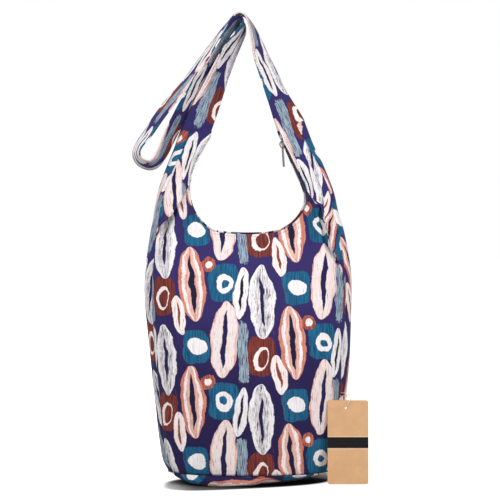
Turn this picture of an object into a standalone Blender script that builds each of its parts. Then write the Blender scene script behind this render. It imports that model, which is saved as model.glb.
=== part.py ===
"""Crossbody bag in printed canvas: a soft body with a zipped U mouth and one long strap that hangs doubled.

The origin is on the floor under the middle of the base. +X is to the bag's right as seen from the front,
+Y goes from the front panel to the back panel and +Z is up.
"""

import math

import bmesh
import bpy
import numpy as np

MM = 0.001

# Cloth, card and clearances
GAP = 0.3 * MM
CANVAS = 1.2 * MM
LINING = 0.6 * MM
LINING_EASE = 1.3 * MM
STRAP_WIDTH = 36 * MM
STRAP_THICKNESS = 3.0 * MM
STRAP_EDGE_ROUND = 0.8 * MM
STRAP_INSERT = 6 * MM
STRAP_RINGS = 3

# Body: half depths from the base seam (0) to the shoulders (1), and the side outline by height
BASE_SEAM_HEIGHT = 14.5 * MM
SHOULDER_HEIGHT = 345 * MM
DEPTHS = [(0.0, 56), (0.12, 64), (0.35, 75), (0.6, 72), (0.8, 58), (0.92, 44), (1.0, 34)]
OUTLINE_LEFT = [
    (0, -102), (14, -106), (33, -113), (63, -118), (94, -121), (140, -126), (186, -130), (232, -132.5),
    (262, -132.5), (293, -129.5), (327, -125.5), (352, -121.5), (375, -116), (391, -111), (406, -105.5),
    (421, -99), (437, -92), (462, -81),
]
OUTLINE_RIGHT = [
    (0, 101), (14, 105), (33, 109.5), (63, 114.5), (109, 121), (140, 124.5), (186, 127.5), (232, 129.5),
    (262, 129), (293, 125), (321, 120), (336, 115.5), (352, 110.5), (367, 107), (382, 102), (398, 96),
    (413, 89.5), (437, 77.5), (462, 68),
]
SEAM_ANGLE = 70
SHOULDER_COLUMN_ANGLE = 35
BASE_FLAT = 0.45
BASE_CORNER_LEFT = 4.5
BASE_CORNER_RIGHT = 2.3
BASE_PARTS = [1, 0.985, 0.95, 0.88, 0.78, 0.62, BASE_FLAT]
BASE_SEGMENTS = 32
LINING_SEGMENTS = 24

# Shoulder arms: where each runs into the strap, and the way the strap goes there
ARM_TOP_LEFT = np.array([-64, 0, 454.5]) * MM
ARM_TOP_RIGHT = np.array([51.2, 0, 454.5]) * MM
STRAP_WAY_LEFT = np.array([-0.360, 0, -0.933])
STRAP_WAY_RIGHT = np.array([-0.410, 0, 0.912])
HALF_TURN = 180
ARM_TWIST_LEFT = -26
ARM_TWIST_RIGHT = 26
ARM_SIDE_EASE = 0.5 * MM
ARM_FOLD = 3.6 * MM
ARM_TOP_EASE = 0.5 * MM
ARM_FULLNESS = 32 * MM
ARM_NECK_FULLNESS = 8.5 * MM
ARM_NECK = 10 * MM
ARM_FILL_POWER = 1.35
ARM_FILL_SHARE = 0.45
ARM_EDGE_SHARE = 0.3
FOLD_ROUND = 2.3
FOLD_FLAT = 5.7
FOLD_FLAT_LENGTH = 40 * MM
ARM_SEAM_TOP = 0.66
ARM_SEAM_LOW = 0.86

# Mouth line, from the left arm down and round to the foot of the straight stretch on the right arm
MOUTH_LINE = [
    (-55.8, 7.0, 436), (-64, 5.6, 420.5), (-72, 4.0, 404.5), (-76.6, 2.6, 389), (-77.8, 1.4, 372.5),
    (-75.8, 0.6, 356), (-70.5, 0.2, 341), (-61, 0, 327.5), (-47.5, 0, 318.5), (-28, 0, 315.3),
    (-3, 0, 314.3), (22, 0, 315.3), (40, 0, 319), (54.5, 0, 327.5), (65.5, -0.6, 339), (71.8, -1.8, 351.5),
    (72.6, -2.8, 364),
]
STRAIGHT_FOOT = np.array([69.1, -3.4, 375.2]) * MM
CROTCH_HEIGHT = 338 * MM
MOUTH_TWIST = 10
EDGE_PULL_POWER = 3

# Zip: half widths are measured from the middle of the chain
ZIP_RECESS = 3.0 * MM
COIL_HALF_GAP = 0.65 * MM
COIL_TOOTH = 0.8 * MM
COIL_WIDTH = 1.8 * MM
COIL_HEIGHT = 1.6 * MM
COIL_PITCH = 5.0 * MM
TAPE = 0.5 * MM
TAPE_LEG_TOP = 5 * MM
TAPE_LEG_END = 11 * MM
TAPE_EASE = 0.2 * MM
TAPE_CORNER_EASE = 1.0 * MM
TAPE_CORNER_REACH = 24 * MM
LEG_START = 0.02
LEG_SPAN = 60 * MM
SLIDER_LENGTH = 11 * MM
SLIDER_PLATE = 0.9 * MM
SLIDER_FLANGE = 0.9 * MM
SLIDER_HALF = COIL_HALF_GAP + COIL_WIDTH + GAP + SLIDER_FLANGE
SLOT_HALF = SLIDER_HALF + 4 * GAP + TAPE + CANVAS + 0.4 * MM
ZIP_END = ARM_NECK
STOP_LENGTH = 1.8 * MM
STOP_HEIGHT = 2.24 * MM
SLIDER_PLACE = 18.5 * MM
RAIL_INSET = 0.02 * MM
JOIN_SINK = 0.3 * MM

# Slider bridge and pull
BRIDGE_WIDTH = 1.6 * MM
BRIDGE_WIRE = 1.2 * MM
BRIDGE_HEIGHT = 4.6 * MM
BRIDGE_LENGTH = 9 * MM
PULL_WIDTH = 4.6 * MM
PULL_LENGTH = 26 * MM
PULL_THICKNESS = 1.1 * MM
PULL_ARM = 1.0 * MM
PULL_EYE = 5.0 * MM
PULL_CORNER = 1.2 * MM

# Strap route, from the right arm over the peak, round the hanging loop and back to the left arm:
# x, y and z in millimetres and the twist of the band in degrees, where 90 is edge on
STRAP_ROUTE = [
    (37.0, 0, 487.8, 40), (26.4, 0, 513.4, 46), (16.2, 0, 539, 54), (9.4, 0, 559.5, 64), (4.4, 0, 574.8, 73),
    (0.0, 0, 586.6, 82), (-5.4, 0, 594.6, 87), (-12.8, 0, 597.9, 89), (-21.4, 0, 594.0, 86),
    (-30.6, -1, 582.4, 80), (-40.2, -3, 568.4, 74), (-56.0, -6, 545.0, 70), (-81.3, -9, 508.3, 67),
    (-107.6, -11, 476.3, 64), (-126.4, -12, 449.4, 66), (-141.0, -12, 429.4, 69), (-144.4, -12, 418.0, 71),
    (-139.6, -12, 408.2, 72), (-128.6, -12, 403.8, 72), (-119.4, -13, 408.0, 73), (-110.8, -13, 421.6, 73),
    (-99.4, -13, 446.0, 72), (-87.6, -12, 469.4, 71), (-76.2, -10, 492.4, 71), (-65.0, -9, 513.0, 72),
    (-47.6, -6, 543.0, 74), (-38.6, -4, 559.0, 76), (-30.0, -2, 574.0, 80), (-22.4, 0, 585.4, 85),
    (-13.6, 0, 591.8, 89), (-7.4, 0, 587.4, 92), (-7.2, 0, 579.0, 96), (-10.6, 0, 571.0, 101),
    (-17.6, 0, 558.5, 108), (-28.0, 0, 538.0, 119), (-40.6, 0, 512.0, 132), (-52.0, 0, 486.0, 145),
]

# Swing tag
TAG_WIDTH = 51 * MM
TAG_HEIGHT = 105 * MM
TAG_THICKNESS = 0.8 * MM
TAG_CORNER = 3 * MM
TAG_HOLE = 3.6 * MM
TAG_HOLE_DROP = 9 * MM
TAG_MIDDLE = 122.5 * MM
TAG_FRONT = -47 * MM
TAG_FOOT = 3.0 * MM
STRING_WIDTH = 1.0 * MM
STRING_STATIONS = 34
STRING_STANDOFF = 2 * MM
STRING_ENDS = (115.5 * MM, 111.5 * MM)
STRING_ROUTE = [
    (119.6, -32.6, 115.6), (121.6, -37.5, 112.5), (121.2, -41.2, 106.0), (119.8, -43.8, 101.2),
    (119.4, -46.4, 99.0), (119.9, -49.2, 99.9), (122.2, -50.6, 103.8), (125.0, -49.9, 108.8),
    (126.6, -46.5, 113.0), (125.0, -41.0, 114.8), (121.6, -34.5, 113.0),
]
STRING_HOLE_POINT = 4

COLOURS = {
    "canvas_print": ((0.045, 0.032, 0.170), 0.85, 0.0),
    "strap_print": ((0.060, 0.045, 0.190), 0.85, 0.0),
    "lining_cloth": ((0.030, 0.026, 0.060), 0.80, 0.0),
    "zip_tape": ((0.012, 0.012, 0.030), 0.85, 0.0),
    "zip_coil": ((0.120, 0.120, 0.130), 0.45, 0.0),
    "zip_metal": ((0.420, 0.410, 0.400), 0.30, 1.0),
    "kraft_card": ((0.640, 0.400, 0.205), 0.90, 0.0),
    "tag_thread": ((0.780, 0.740, 0.660), 0.80, 0.0),
}


def smooth_step(t):
    """Rises from 0 to 1 with level ends."""
    t = np.clip(t, 0, 1)
    return t * t * (3 - 2 * t)


def unit(v):
    return v / np.linalg.norm(v, axis=-1, keepdims=True)


def smooth_curve(points, per_span=12):
    """Catmull-Rom curve through the points, as rows of coordinates."""
    p = np.asarray(points, float)
    p = np.vstack([2 * p[0] - p[1], p, 2 * p[-1] - p[-2]])
    t = np.linspace(0, 1, per_span, endpoint=False)[:, None]
    spans = []
    for a, b, c, d in zip(p, p[1:], p[2:], p[3:]):
        spans.append(b + 0.5 * t * ((c - a) + t * ((2 * a - 5 * b + 4 * c - d) + t * (3 * b - a - 3 * c + d))))
    return np.vstack(spans + [p[-2:-1]])


def read_off(table, where):
    """Value of a two-column table at each place, on a smooth curve through its rows."""
    curve = smooth_curve(table)
    return np.interp(where, curve[:, 0], curve[:, 1])


def arc_lengths(curve):
    steps = np.linalg.norm(np.diff(curve[:, :3], axis=0), axis=1)
    return np.concatenate([[0], np.cumsum(steps)])


def sample(curve, lengths):
    """Rows of the curve at the given lengths along it."""
    s = arc_lengths(curve)
    return np.column_stack([np.interp(lengths, s, column) for column in curve.T])


def strap_axes(way, twist):
    """Width direction and outer face direction of the band for its way and twist in degrees."""
    way = unit(np.atleast_2d(way))
    turn = np.radians(np.atleast_1d(twist))[:, None]
    outward = unit(np.column_stack([way[:, 2], np.zeros(len(way)), -way[:, 0]]))
    width = np.cos(turn) * outward + np.sin(turn) * np.array([0, 1, 0])
    width = unit(width - np.sum(width * way, axis=1, keepdims=True) * way)
    return width, np.cross(width, way)


def arm_top(centre, way, twist):
    """Ends of the arm's flat section at its top: the mouth edge and the outer fold."""
    width = strap_axes(way, twist)[0][0]
    inner = centre - (STRAP_WIDTH / 2 + ARM_SIDE_EASE) * width
    outer = centre + (STRAP_WIDTH / 2 + ARM_FOLD) * width
    return inner, outer


INNER_LEFT, OUTER_LEFT = arm_top(ARM_TOP_LEFT, STRAP_WAY_LEFT, ARM_TWIST_LEFT)
INNER_RIGHT, OUTER_RIGHT = arm_top(ARM_TOP_RIGHT, STRAP_WAY_RIGHT, ARM_TWIST_RIGHT)
ARM_HALF_TOP = STRAP_THICKNESS / 2 + GAP + CANVAS + ARM_TOP_EASE


def mouth_path():
    """Middle line of the zip: the left arm, the U of the mouth and the straight stretch on the right arm."""
    straight = [STRAIGHT_FOOT + (INNER_RIGHT - STRAIGHT_FOOT) * t for t in np.linspace(0, 1, 6)]
    return smooth_curve([INNER_LEFT] + [np.array(p) * MM for p in MOUTH_LINE] + straight, 16)


MOUTH = mouth_path()
MOUTH_LENGTH = arc_lengths(MOUTH)[-1]
STRAIGHT_LENGTH = np.linalg.norm(INNER_RIGHT - STRAIGHT_FOOT)


def mouth_frame(lengths):
    """Point, way along, way across (to the back) and way out of the zip at lengths along the mouth."""
    lengths = np.atleast_1d(lengths)
    step = 0.5 * MM
    low = np.clip(lengths - step, 0, MOUTH_LENGTH - 2 * step)
    along = unit(sample(MOUTH, low + 2 * step) - sample(MOUTH, low))
    rise = unit(np.column_stack([-along[:, 2], np.zeros(len(along)), along[:, 0]]))
    start = MOUTH_LENGTH - STRAIGHT_LENGTH
    stations = [0, 0.12 * MOUTH_LENGTH, 0.38 * MOUTH_LENGTH, 0.62 * MOUTH_LENGTH, start, MOUTH_LENGTH]
    twists = [ARM_TWIST_LEFT, ARM_TWIST_LEFT, MOUTH_TWIST, MOUTH_TWIST, ARM_TWIST_RIGHT, ARM_TWIST_RIGHT]
    roll = np.interp(lengths, stations, twists)
    roll = np.radians(roll)[:, None]
    across = np.cos(roll) * np.array([0, 1, 0]) + np.sin(roll) * rise
    across = unit(across - np.sum(across * along, axis=1, keepdims=True) * along)
    return sample(MOUTH, lengths), along, across, np.cross(along, across)


def slot_size(lengths):
    """Half gap between the panel edges and their height over the zip, both closing at the strap."""
    from_end = np.minimum(lengths, MOUTH_LENGTH - lengths)
    open_part = smooth_step(from_end / ARM_NECK)
    return ARM_HALF_TOP + (SLOT_HALF - ARM_HALF_TOP) * open_part, ZIP_RECESS * open_part


def edge_points(lengths, side):
    """Edge of the front (side -1) or back (side 1) panel along the mouth."""
    point, _, across, out = mouth_frame(lengths)
    half, high = slot_size(np.atleast_1d(lengths))
    return point + side * half[:, None] * across + high[:, None] * out


def crotch_lengths():
    """Lengths along the mouth where each arm starts."""
    s = arc_lengths(MOUTH)
    heights = MOUTH[:, 2]
    lowest = int(np.argmin(heights))
    left = np.interp(-CROTCH_HEIGHT, -heights[:lowest], s[:lowest])
    right = np.interp(CROTCH_HEIGHT, heights[lowest:], s[lowest:])
    return left, right


CROTCH_LEFT, CROTCH_RIGHT = crotch_lengths()
ARM_ROWS = np.array([1, 0.9, 0.79, 0.67, 0.55, 0.43, 0.32, 0.22, 0.145])
NECK_ROWS = np.array([1, 0.68, 0.34, 0])
FRONT_ARM_COLUMNS = 6
BACK_FOLD_COLUMNS = 4
BACK_ARM_COLUMNS = 10
MOUTH_COLUMNS = 12
BODY_ROWS = 15
POCKET_FOOT_ROW = 3
POCKET_HEAD_ROW = 6
POCKET_COLUMNS = 5
POCKET_BOW = 7 * MM


def arm_length(right):
    return MOUTH_LENGTH - CROTCH_RIGHT if right else CROTCH_LEFT


def arm_rows(right):
    """Rows of an arm as shares of its length, from the crotch up to the strap."""
    return np.concatenate([ARM_ROWS, NECK_ROWS * ARM_NECK / arm_length(right)])


def arm_points(right, down, place, side):
    """Points of one arm. down is 0 at the strap and 1 at the crotch, place is 0 at the mouth edge and 1 at the
    outer fold, and side is -1 for the front face and 1 for the back face."""
    from_end = down * arm_length(right)
    lengths = MOUTH_LENGTH - from_end if right else from_end
    inner = sample(MOUTH, np.atleast_1d(lengths))[0]
    top, table = (OUTER_RIGHT, OUTLINE_RIGHT) if right else (OUTER_LEFT, OUTLINE_LEFT)
    height = top[2] + (SHOULDER_HEIGHT - top[2]) * down
    shift = top[0] - read_off(table, top[2] / MM) * MM
    outer = np.array([read_off(table, height / MM) * MM + shift * (1 - down), top[1] * (1 - down), height])
    reach = np.linalg.norm(outer - inner)
    width = (outer - inner) / reach
    face = np.array([0, side, 0]) - side * width[1] * width
    face = face / np.linalg.norm(face)
    half = slot_size(np.atleast_1d(lengths))[0][0]
    full = half + (ARM_NECK_FULLNESS - SLOT_HALF) * smooth_step(from_end / ARM_NECK)
    full = full + (ARM_FULLNESS - ARM_NECK_FULLNESS) * max(0, (from_end - ARM_NECK) / arm_length(right)) ** ARM_FILL_POWER
    square = FOLD_ROUND + FOLD_FLAT * (1 - smooth_step(from_end / FOLD_FLAT_LENGTH))
    place = np.atleast_1d(place)[:, None]
    thick = half + (full - half) * smooth_step(place / ARM_FILL_SHARE)
    thick = thick * (1 - place**square) ** (1 / square)
    points = inner + place * reach * width + thick * face
    fix = edge_points(np.atleast_1d(lengths), side)[0] - (inner + half * face)
    return points + np.clip(1 - place / ARM_EDGE_SHARE, 0, 1) ** 2 * fix


def seam_place(down):
    """Where the side seam crosses the front face of an arm."""
    return ARM_SEAM_TOP + (ARM_SEAM_LOW - ARM_SEAM_TOP) * down


def arm_row(right, down, panel):
    """One row of a panel across an arm, from the side seam to the mouth edge."""
    seam = math.asin(seam_place(down))
    if panel == "front":
        places = np.sin(np.linspace(seam, 0, FRONT_ARM_COLUMNS + 1))
        return arm_points(right, down, places, -1)
    fold = np.sin(np.linspace(seam, math.pi / 2, BACK_FOLD_COLUMNS + 1))[:-1]
    rest = np.sin(np.linspace(math.pi / 2, 0, BACK_ARM_COLUMNS - BACK_FOLD_COLUMNS + 1))
    return np.vstack([arm_points(right, down, fold, -1), arm_points(right, down, rest, 1)])


def column_angles(panel):
    """Plan angles of a panel's columns in degrees, from the middle of its side of the bag, left to right."""
    arm = SHOULDER_COLUMN_ANGLE
    if panel == "front":
        left = np.linspace(-SEAM_ANGLE, -arm, FRONT_ARM_COLUMNS + 1)
    else:
        fold = np.linspace(-(180 - SEAM_ANGLE), -90, BACK_FOLD_COLUMNS + 1)[:-1]
        left = np.concatenate([fold, np.linspace(-90, -arm, BACK_ARM_COLUMNS - BACK_FOLD_COLUMNS + 1)])
    middle = np.linspace(-arm, arm, MOUTH_COLUMNS + 1)[1:-1]
    return np.radians(np.concatenate([left, middle, -left[::-1]]))


def ellipse_row(angles, part, side):
    """Plan section of the body at a fraction of the height from the base seam to the shoulders."""
    height = BASE_SEAM_HEIGHT + (SHOULDER_HEIGHT - BASE_SEAM_HEIGHT) * part
    left, right = read_off(OUTLINE_LEFT, height / MM) * MM, read_off(OUTLINE_RIGHT, height / MM) * MM
    depth = read_off(DEPTHS, part) * MM
    x = (left + right) / 2 + (right - left) / 2 * np.sin(angles)
    return np.column_stack([x, side * depth * np.cos(angles), np.full(len(angles), height)])


def body_grid(panel, parts):
    """Rows of a panel's body, from the base seam up to the crotch row."""
    side = -1 if panel == "front" else 1
    angles = column_angles(panel)
    left, right = arm_row(False, 1, panel), arm_row(True, 1, panel)
    lengths = np.linspace(CROTCH_LEFT, CROTCH_RIGHT, MOUTH_COLUMNS + 1)[1:-1]
    top = np.vstack([left, edge_points(lengths, side), right[::-1]])
    shift = top - ellipse_row(angles, 1, side)
    return np.array([ellipse_row(angles, part, side) + part**EDGE_PULL_POWER * shift for part in parts])


def inward(grid, distance):
    """The grid moved in along its own normals."""
    across = np.gradient(grid, axis=1)
    up = np.gradient(grid, axis=0)
    normal = unit(np.cross(across, up))
    return grid - distance * normal


def pull_back(row, towards, distance):
    """The row moved a little towards the next one, which leaves half of a seam's gap."""
    return row + distance * unit(towards - row)


MATERIALS = {}


def material(name):
    """A Principled material with the named finish."""
    if name not in MATERIALS:
        colour, roughness, metallic = COLOURS[name]
        made = bpy.data.materials.new(name)
        made.use_nodes = True
        shader = made.node_tree.nodes["Principled BSDF"]
        shader.inputs["Base Color"].default_value = (*colour, 1)
        shader.inputs["Roughness"].default_value = roughness
        shader.inputs["Metallic"].default_value = metallic
        MATERIALS[name] = made
    return MATERIALS[name]


def add_object(name, vertices, faces, finish, smooth=True):
    mesh = bpy.data.meshes.new(name)
    mesh.from_pydata([tuple(map(float, v)) for v in vertices], [], [tuple(map(int, f)) for f in faces])
    mesh.update()
    if smooth:
        mesh.shade_smooth()
        mesh.set_sharp_from_angle(angle=math.radians(40))
    made = bpy.data.objects.new(name, mesh)
    bpy.context.scene.collection.objects.link(made)
    made.data.materials.append(material(finish))
    return made


def grid_faces(rows, columns, start=0, around=False):
    """Quads of a grid of vertices, with their front to the right of the way up."""
    faces = []
    last = columns if around else columns - 1
    for r in range(rows - 1):
        for c in range(last):
            n = (c + 1) % columns
            low, high = start + r * columns, start + (r + 1) * columns
            faces.append((low + c, low + n, high + n, high + c))
    return faces


def thicken(made, thickness, offset=-1.0):
    """Gives a sheet its thickness. The offset of -1 keeps the sheet as the outer face."""
    solid = made.modifiers.new("thickness", "SOLIDIFY")
    solid.thickness = thickness
    solid.offset = offset
    solid.use_even_offset = False
    return made


def sheet(name, grids, thickness, finish, offset=-1.0, flip=False):
    """A sheet of one or more grids that share border points, thickened into one closed solid."""
    vertices, faces = [], []
    for grid in grids:
        rows, columns = grid.shape[:2]
        faces += grid_faces(rows, columns, len(vertices))
        vertices += list(grid.reshape(-1, 3))
    if flip:
        faces = [tuple(reversed(f)) for f in faces]
    made = add_object(name, vertices, faces, finish)
    work = bmesh.new()
    work.from_mesh(made.data)
    bmesh.ops.remove_doubles(work, verts=work.verts, dist=0.00001)
    work.to_mesh(made.data)
    work.free()
    return thicken(made, thickness, offset)


def sweep(name, rings, finish):
    """A closed solid through rings of points, with a flat face at each end."""
    count = len(rings[0])
    vertices = [p for ring in rings for p in ring]
    faces = grid_faces(len(rings), count, around=True)
    faces.append(tuple(range(count - 1, -1, -1)))
    faces.append(tuple(range(len(vertices) - count, len(vertices))))
    made = add_object(name, vertices, faces, finish)
    work = bmesh.new()
    work.from_mesh(made.data)
    bmesh.ops.recalc_face_normals(work, faces=work.faces)
    work.to_mesh(made.data)
    work.free()
    return made


def whole_panel(panel):
    """Grids of a panel: its body, its left arm and its right arm, with shared borders."""
    body = body_grid(panel, np.linspace(0, 1, BODY_ROWS + 1))
    left = np.array([arm_row(False, down, panel) for down in arm_rows(False)])
    right = np.array([arm_row(True, down, panel)[::-1] for down in arm_rows(True)])
    columns = left.shape[1]
    body, left, right = body.copy(), left.copy(), right.copy()
    for grid, seam, near in ((body, 0, 1), (body, -1, -2), (left, 0, 1), (right, -1, -2)):
        grid[:, seam] = pull_back(grid[:, seam], grid[:, near], GAP / 2)
    body[0] = pull_back(body[0], body[1], GAP / 2)
    left[0], right[0] = body[-1][:columns], body[-1][-columns:]
    return [body, left, right]


def build_panels():
    for panel in ("front", "back"):
        sheet(panel + "_panel", whole_panel(panel), CANVAS, "canvas_print", flip=panel == "back")


def base_rings(inset, drop, segments, parts):
    """Rings of the base bowl from its rim to the flat middle."""
    left = read_off(OUTLINE_LEFT, BASE_SEAM_HEIGHT / MM) * MM
    right = read_off(OUTLINE_RIGHT, BASE_SEAM_HEIGHT / MM) * MM
    depth = read_off(DEPTHS, 0) * MM - inset
    angle = np.linspace(0, 2 * math.pi, segments, endpoint=False)
    to_right = (1 + np.cos(angle)) / 2
    corner = BASE_CORNER_LEFT + (BASE_CORNER_RIGHT - BASE_CORNER_LEFT) * to_right
    rings = []
    for part in parts:
        x = (left + right) / 2 + part * ((right - left) / 2 - inset) * np.cos(angle)
        y = part * depth * np.sin(angle)
        rise = 1 - (1 - part**corner) ** (1 / corner)
        least = 1 - (1 - BASE_FLAT**corner) ** (1 / corner)
        z = drop + (BASE_SEAM_HEIGHT - drop) * np.clip((rise - least) / (1 - least), 0, 1)
        rings.append(np.column_stack([x, y, z]))
    return rings


def build_base():
    """Oval base with a turned-up rim under the base seam and a flat middle that rests on the floor."""
    rings = base_rings(0, 0, BASE_SEGMENTS, BASE_PARTS)
    rings[0] = pull_back(rings[0], rings[1], GAP / 2)
    vertices = [p for ring in rings for p in ring]
    faces = grid_faces(len(rings), BASE_SEGMENTS, around=True)
    faces.append(tuple(range(len(vertices) - BASE_SEGMENTS, len(vertices))))
    made = add_object("base_panel", vertices, [tuple(reversed(f)) for f in faces], "canvas_print")
    thicken(made, CANVAS)


def lining_parts():
    """Heights of the lining's rows, which are every other row of the panels."""
    rows = {1, *range(2, BODY_ROWS, 2), BODY_ROWS - 2, BODY_ROWS - 1}
    return np.array(sorted(rows)) / BODY_ROWS


def build_lining():
    """Plain inner bag that hangs inside the canvas, sewn under the zip tapes."""
    ease = CANVAS + LINING_EASE
    parts = lining_parts()
    for panel in ("front", "back"):
        grid = inward(body_grid(panel, parts), ease if panel == "front" else -ease)
        grid[:, 0] = pull_back(grid[:, 0], grid[:, 1], GAP)
        grid[:, -1] = pull_back(grid[:, -1], grid[:, -2], GAP)
        sheet("lining_" + panel, [grid], LINING, "lining_cloth", flip=panel == "back")
    first = body_grid("front", parts[:1])[0]
    height = first[0][2]
    rings = base_rings(ease, CANVAS + GAP, LINING_SEGMENTS, BASE_PARTS[:1] + BASE_PARTS[3:])
    rim = rings[0].copy()
    rim[:, 2] = height - 2 * GAP
    wide = read_off(OUTLINE_RIGHT, height / MM) / read_off(OUTLINE_RIGHT, BASE_SEAM_HEIGHT / MM)
    rim[:, :2] *= 1 + (wide - 1) * 0.5
    rings = [rim] + rings
    vertices = [p for ring in rings for p in ring]
    faces = grid_faces(len(rings), LINING_SEGMENTS, around=True)
    faces.append(tuple(range(len(vertices) - LINING_SEGMENTS, len(vertices))))
    made = add_object("lining_base", vertices, [tuple(reversed(f)) for f in faces], "lining_cloth")
    thicken(made, LINING)


def build_pocket():
    """Slip pocket, sewn to the back lining at its sides and foot, with its mouth a little open."""
    grid = inward(body_grid("back", lining_parts()), -(CANVAS + LINING_EASE))
    middle = grid.shape[1] // 2
    foot, head, columns = int(POCKET_FOOT_ROW), int(POCKET_HEAD_ROW), int(POCKET_COLUMNS)
    grid = grid[foot:head + 1, middle - columns:middle + columns + 1]
    rise = np.linspace(0, 1, grid.shape[0])[:, None, None]
    bow = np.sin(np.linspace(0, math.pi, grid.shape[1]))[None, :, None]
    grid = inward(grid, -(LINING + GAP)) - POCKET_BOW * rise**2 * bow * np.array([0, 1, 0])
    sheet("inner_pocket", [grid], LINING, "lining_cloth", flip=True)


def mouth_stations():
    """Lengths along the mouth at the panels' own columns and rows, within the zip's ends."""
    left = arm_rows(False)[::-1] * arm_length(False)
    right = MOUTH_LENGTH - arm_rows(True) * arm_length(True)
    middle = np.linspace(CROTCH_LEFT, CROTCH_RIGHT, MOUTH_COLUMNS + 1)[1:-1]
    lengths = np.concatenate([left, middle, right])
    inside = (lengths > ZIP_END + GAP) & (lengths < MOUTH_LENGTH - ZIP_END - GAP)
    lengths = np.concatenate([[ZIP_END], lengths[inside], [MOUTH_LENGTH - ZIP_END]])
    between = (lengths[1:] + lengths[:-1]) / 2
    arm_part = (between < CROTCH_LEFT) | (between > CROTCH_RIGHT)
    return np.sort(np.concatenate([lengths, between[arm_part]]))


def under_edge(length, depth, side):
    """Point on the outer face of a panel a little below its mouth edge, and the normal there."""
    def point(distance, along):
        at = length + along
        if at < CROTCH_LEFT or at > CROTCH_RIGHT:
            right = at > CROTCH_RIGHT
            down = (MOUTH_LENGTH - at if right else at) / arm_length(right)
            return arm_points(right, down, LEG_START + distance / LEG_SPAN, side)[0]
        panel = "front" if side < 0 else "back"
        first = FRONT_ARM_COLUMNS if side < 0 else BACK_ARM_COLUMNS
        share = (at - CROTCH_LEFT) / (CROTCH_RIGHT - CROTCH_LEFT) * MOUTH_COLUMNS
        low = min(int(share), MOUTH_COLUMNS - 1)
        row = body_grid(panel, [1 - distance / (SHOULDER_HEIGHT - BASE_SEAM_HEIGHT)])[0]
        return row[first + low] + (share - low) * (row[first + low + 1] - row[first + low])
    here = point(depth, 0)
    normal = np.cross(point(depth, 1 * MM) - here, point(depth + 1 * MM, 0) - here)
    return here, -side * normal / np.linalg.norm(normal)


def build_tapes():
    """Zip tapes: level beside the coil, then down between each panel and the lining."""
    lengths = mouth_stations()
    point, _, across, out = mouth_frame(lengths)
    bend = SLOT_HALF - CANVAS - 2 * GAP - TAPE / 2
    corner = np.minimum(abs(lengths - CROTCH_LEFT), abs(lengths - CROTCH_RIGHT)) / TAPE_CORNER_REACH
    inset = CANVAS + GAP + TAPE / 2 + TAPE_EASE + TAPE_CORNER_EASE * (1 - smooth_step(corner))
    for side, name in ((-1, "zip_tape_front"), (1, "zip_tape_back")):
        rows = [point + side * (COIL_HALF_GAP + COIL_WIDTH + GAP) * across, point + side * bend * across]
        for depth in (TAPE_LEG_TOP, TAPE_LEG_END):
            found = [under_edge(length, depth, side) for length in lengths]
            rows.append(np.array([p + i * n for (p, n), i in zip(found, inset)]))
        sheet(name, [np.array(rows)], TAPE, "zip_tape", offset=0.0)


def build_coils():
    """The two rows of teeth: a strip on each tape edge whose inner side is cut into teeth."""
    low, high = ZIP_END + STOP_LENGTH + GAP, MOUTH_LENGTH - ZIP_END - STOP_LENGTH - GAP
    teeth = int((high - low) / COIL_PITCH)
    lengths = np.linspace(low, high, 2 * teeth + 1)
    point, _, across, out = mouth_frame(lengths)
    for side, name in ((-1, "zip_coil_front"), (1, "zip_coil_back")):
        rings = []
        for k in range(len(lengths)):
            tip = COIL_HALF_GAP + (0 if k % 2 else COIL_TOOTH)
            root = COIL_HALF_GAP + COIL_WIDTH
            corners = [(tip, 1), (root, 1), (root, -1), (tip, -1)]
            rings.append([point[k] + side * a * across[k] + b * COIL_HEIGHT / 2 * out[k] for a, b in corners])
        sweep(name, rings, "zip_coil")


def build_stops():
    """A small clamped block across both rows at each end of the zip."""
    places = {"zip_bottom_stop": ZIP_END + STOP_LENGTH / 2, "zip_top_stop": MOUTH_LENGTH - ZIP_END - STOP_LENGTH / 2}
    for name, place in places.items():
        rings = []
        for offset in (-STOP_LENGTH / 2, STOP_LENGTH / 2):
            point, _, across, out = (a[0] for a in mouth_frame(place + offset))
            half = COIL_HALF_GAP + COIL_WIDTH
            high = STOP_HEIGHT / 2
            corners = [(-half, high), (half, high), (half, -high), (-half, -high)]
            rings.append([point + a * across + b * out for a, b in corners])
        sweep(name, rings, "zip_metal")


def block(corners, low, high, place):
    """Extruded outline: corners are along and across, low and high are out of the zip."""
    point, along, across, out = place
    rings = [[point + a * along + b * across + h * out for a, b in corners] for h in (low, high)]
    return rings


def join_blocks(name, blocks, finish):
    """One solid from overlapping blocks, by Boolean union."""
    made = sweep(name, blocks[0], finish)
    for k, rings in enumerate(blocks[1:]):
        tool = sweep(name + "_tool_" + str(k), rings, finish)
        tool.hide_render = True
        tool.display_type = "WIRE"
        union = made.modifiers.new("join", "BOOLEAN")
        union.operation = "UNION"
        union.solver = "EXACT"
        union.object = tool
    return made


def set_origin(made, place):
    """Moves the object's origin without moving its shape."""
    for vertex in made.data.vertices:
        vertex.co = [a - float(b) for a, b in zip(vertex.co, place)]
    made.location = [float(a) for a in place]


def slider_frame():
    return tuple(a[0] for a in mouth_frame(MOUTH_LENGTH - SLIDER_PLACE))


def rectangle(a0, a1, b0, b1):
    return [(a0, b0), (a1, b0), (a1, b1), (a0, b1)]


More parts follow.
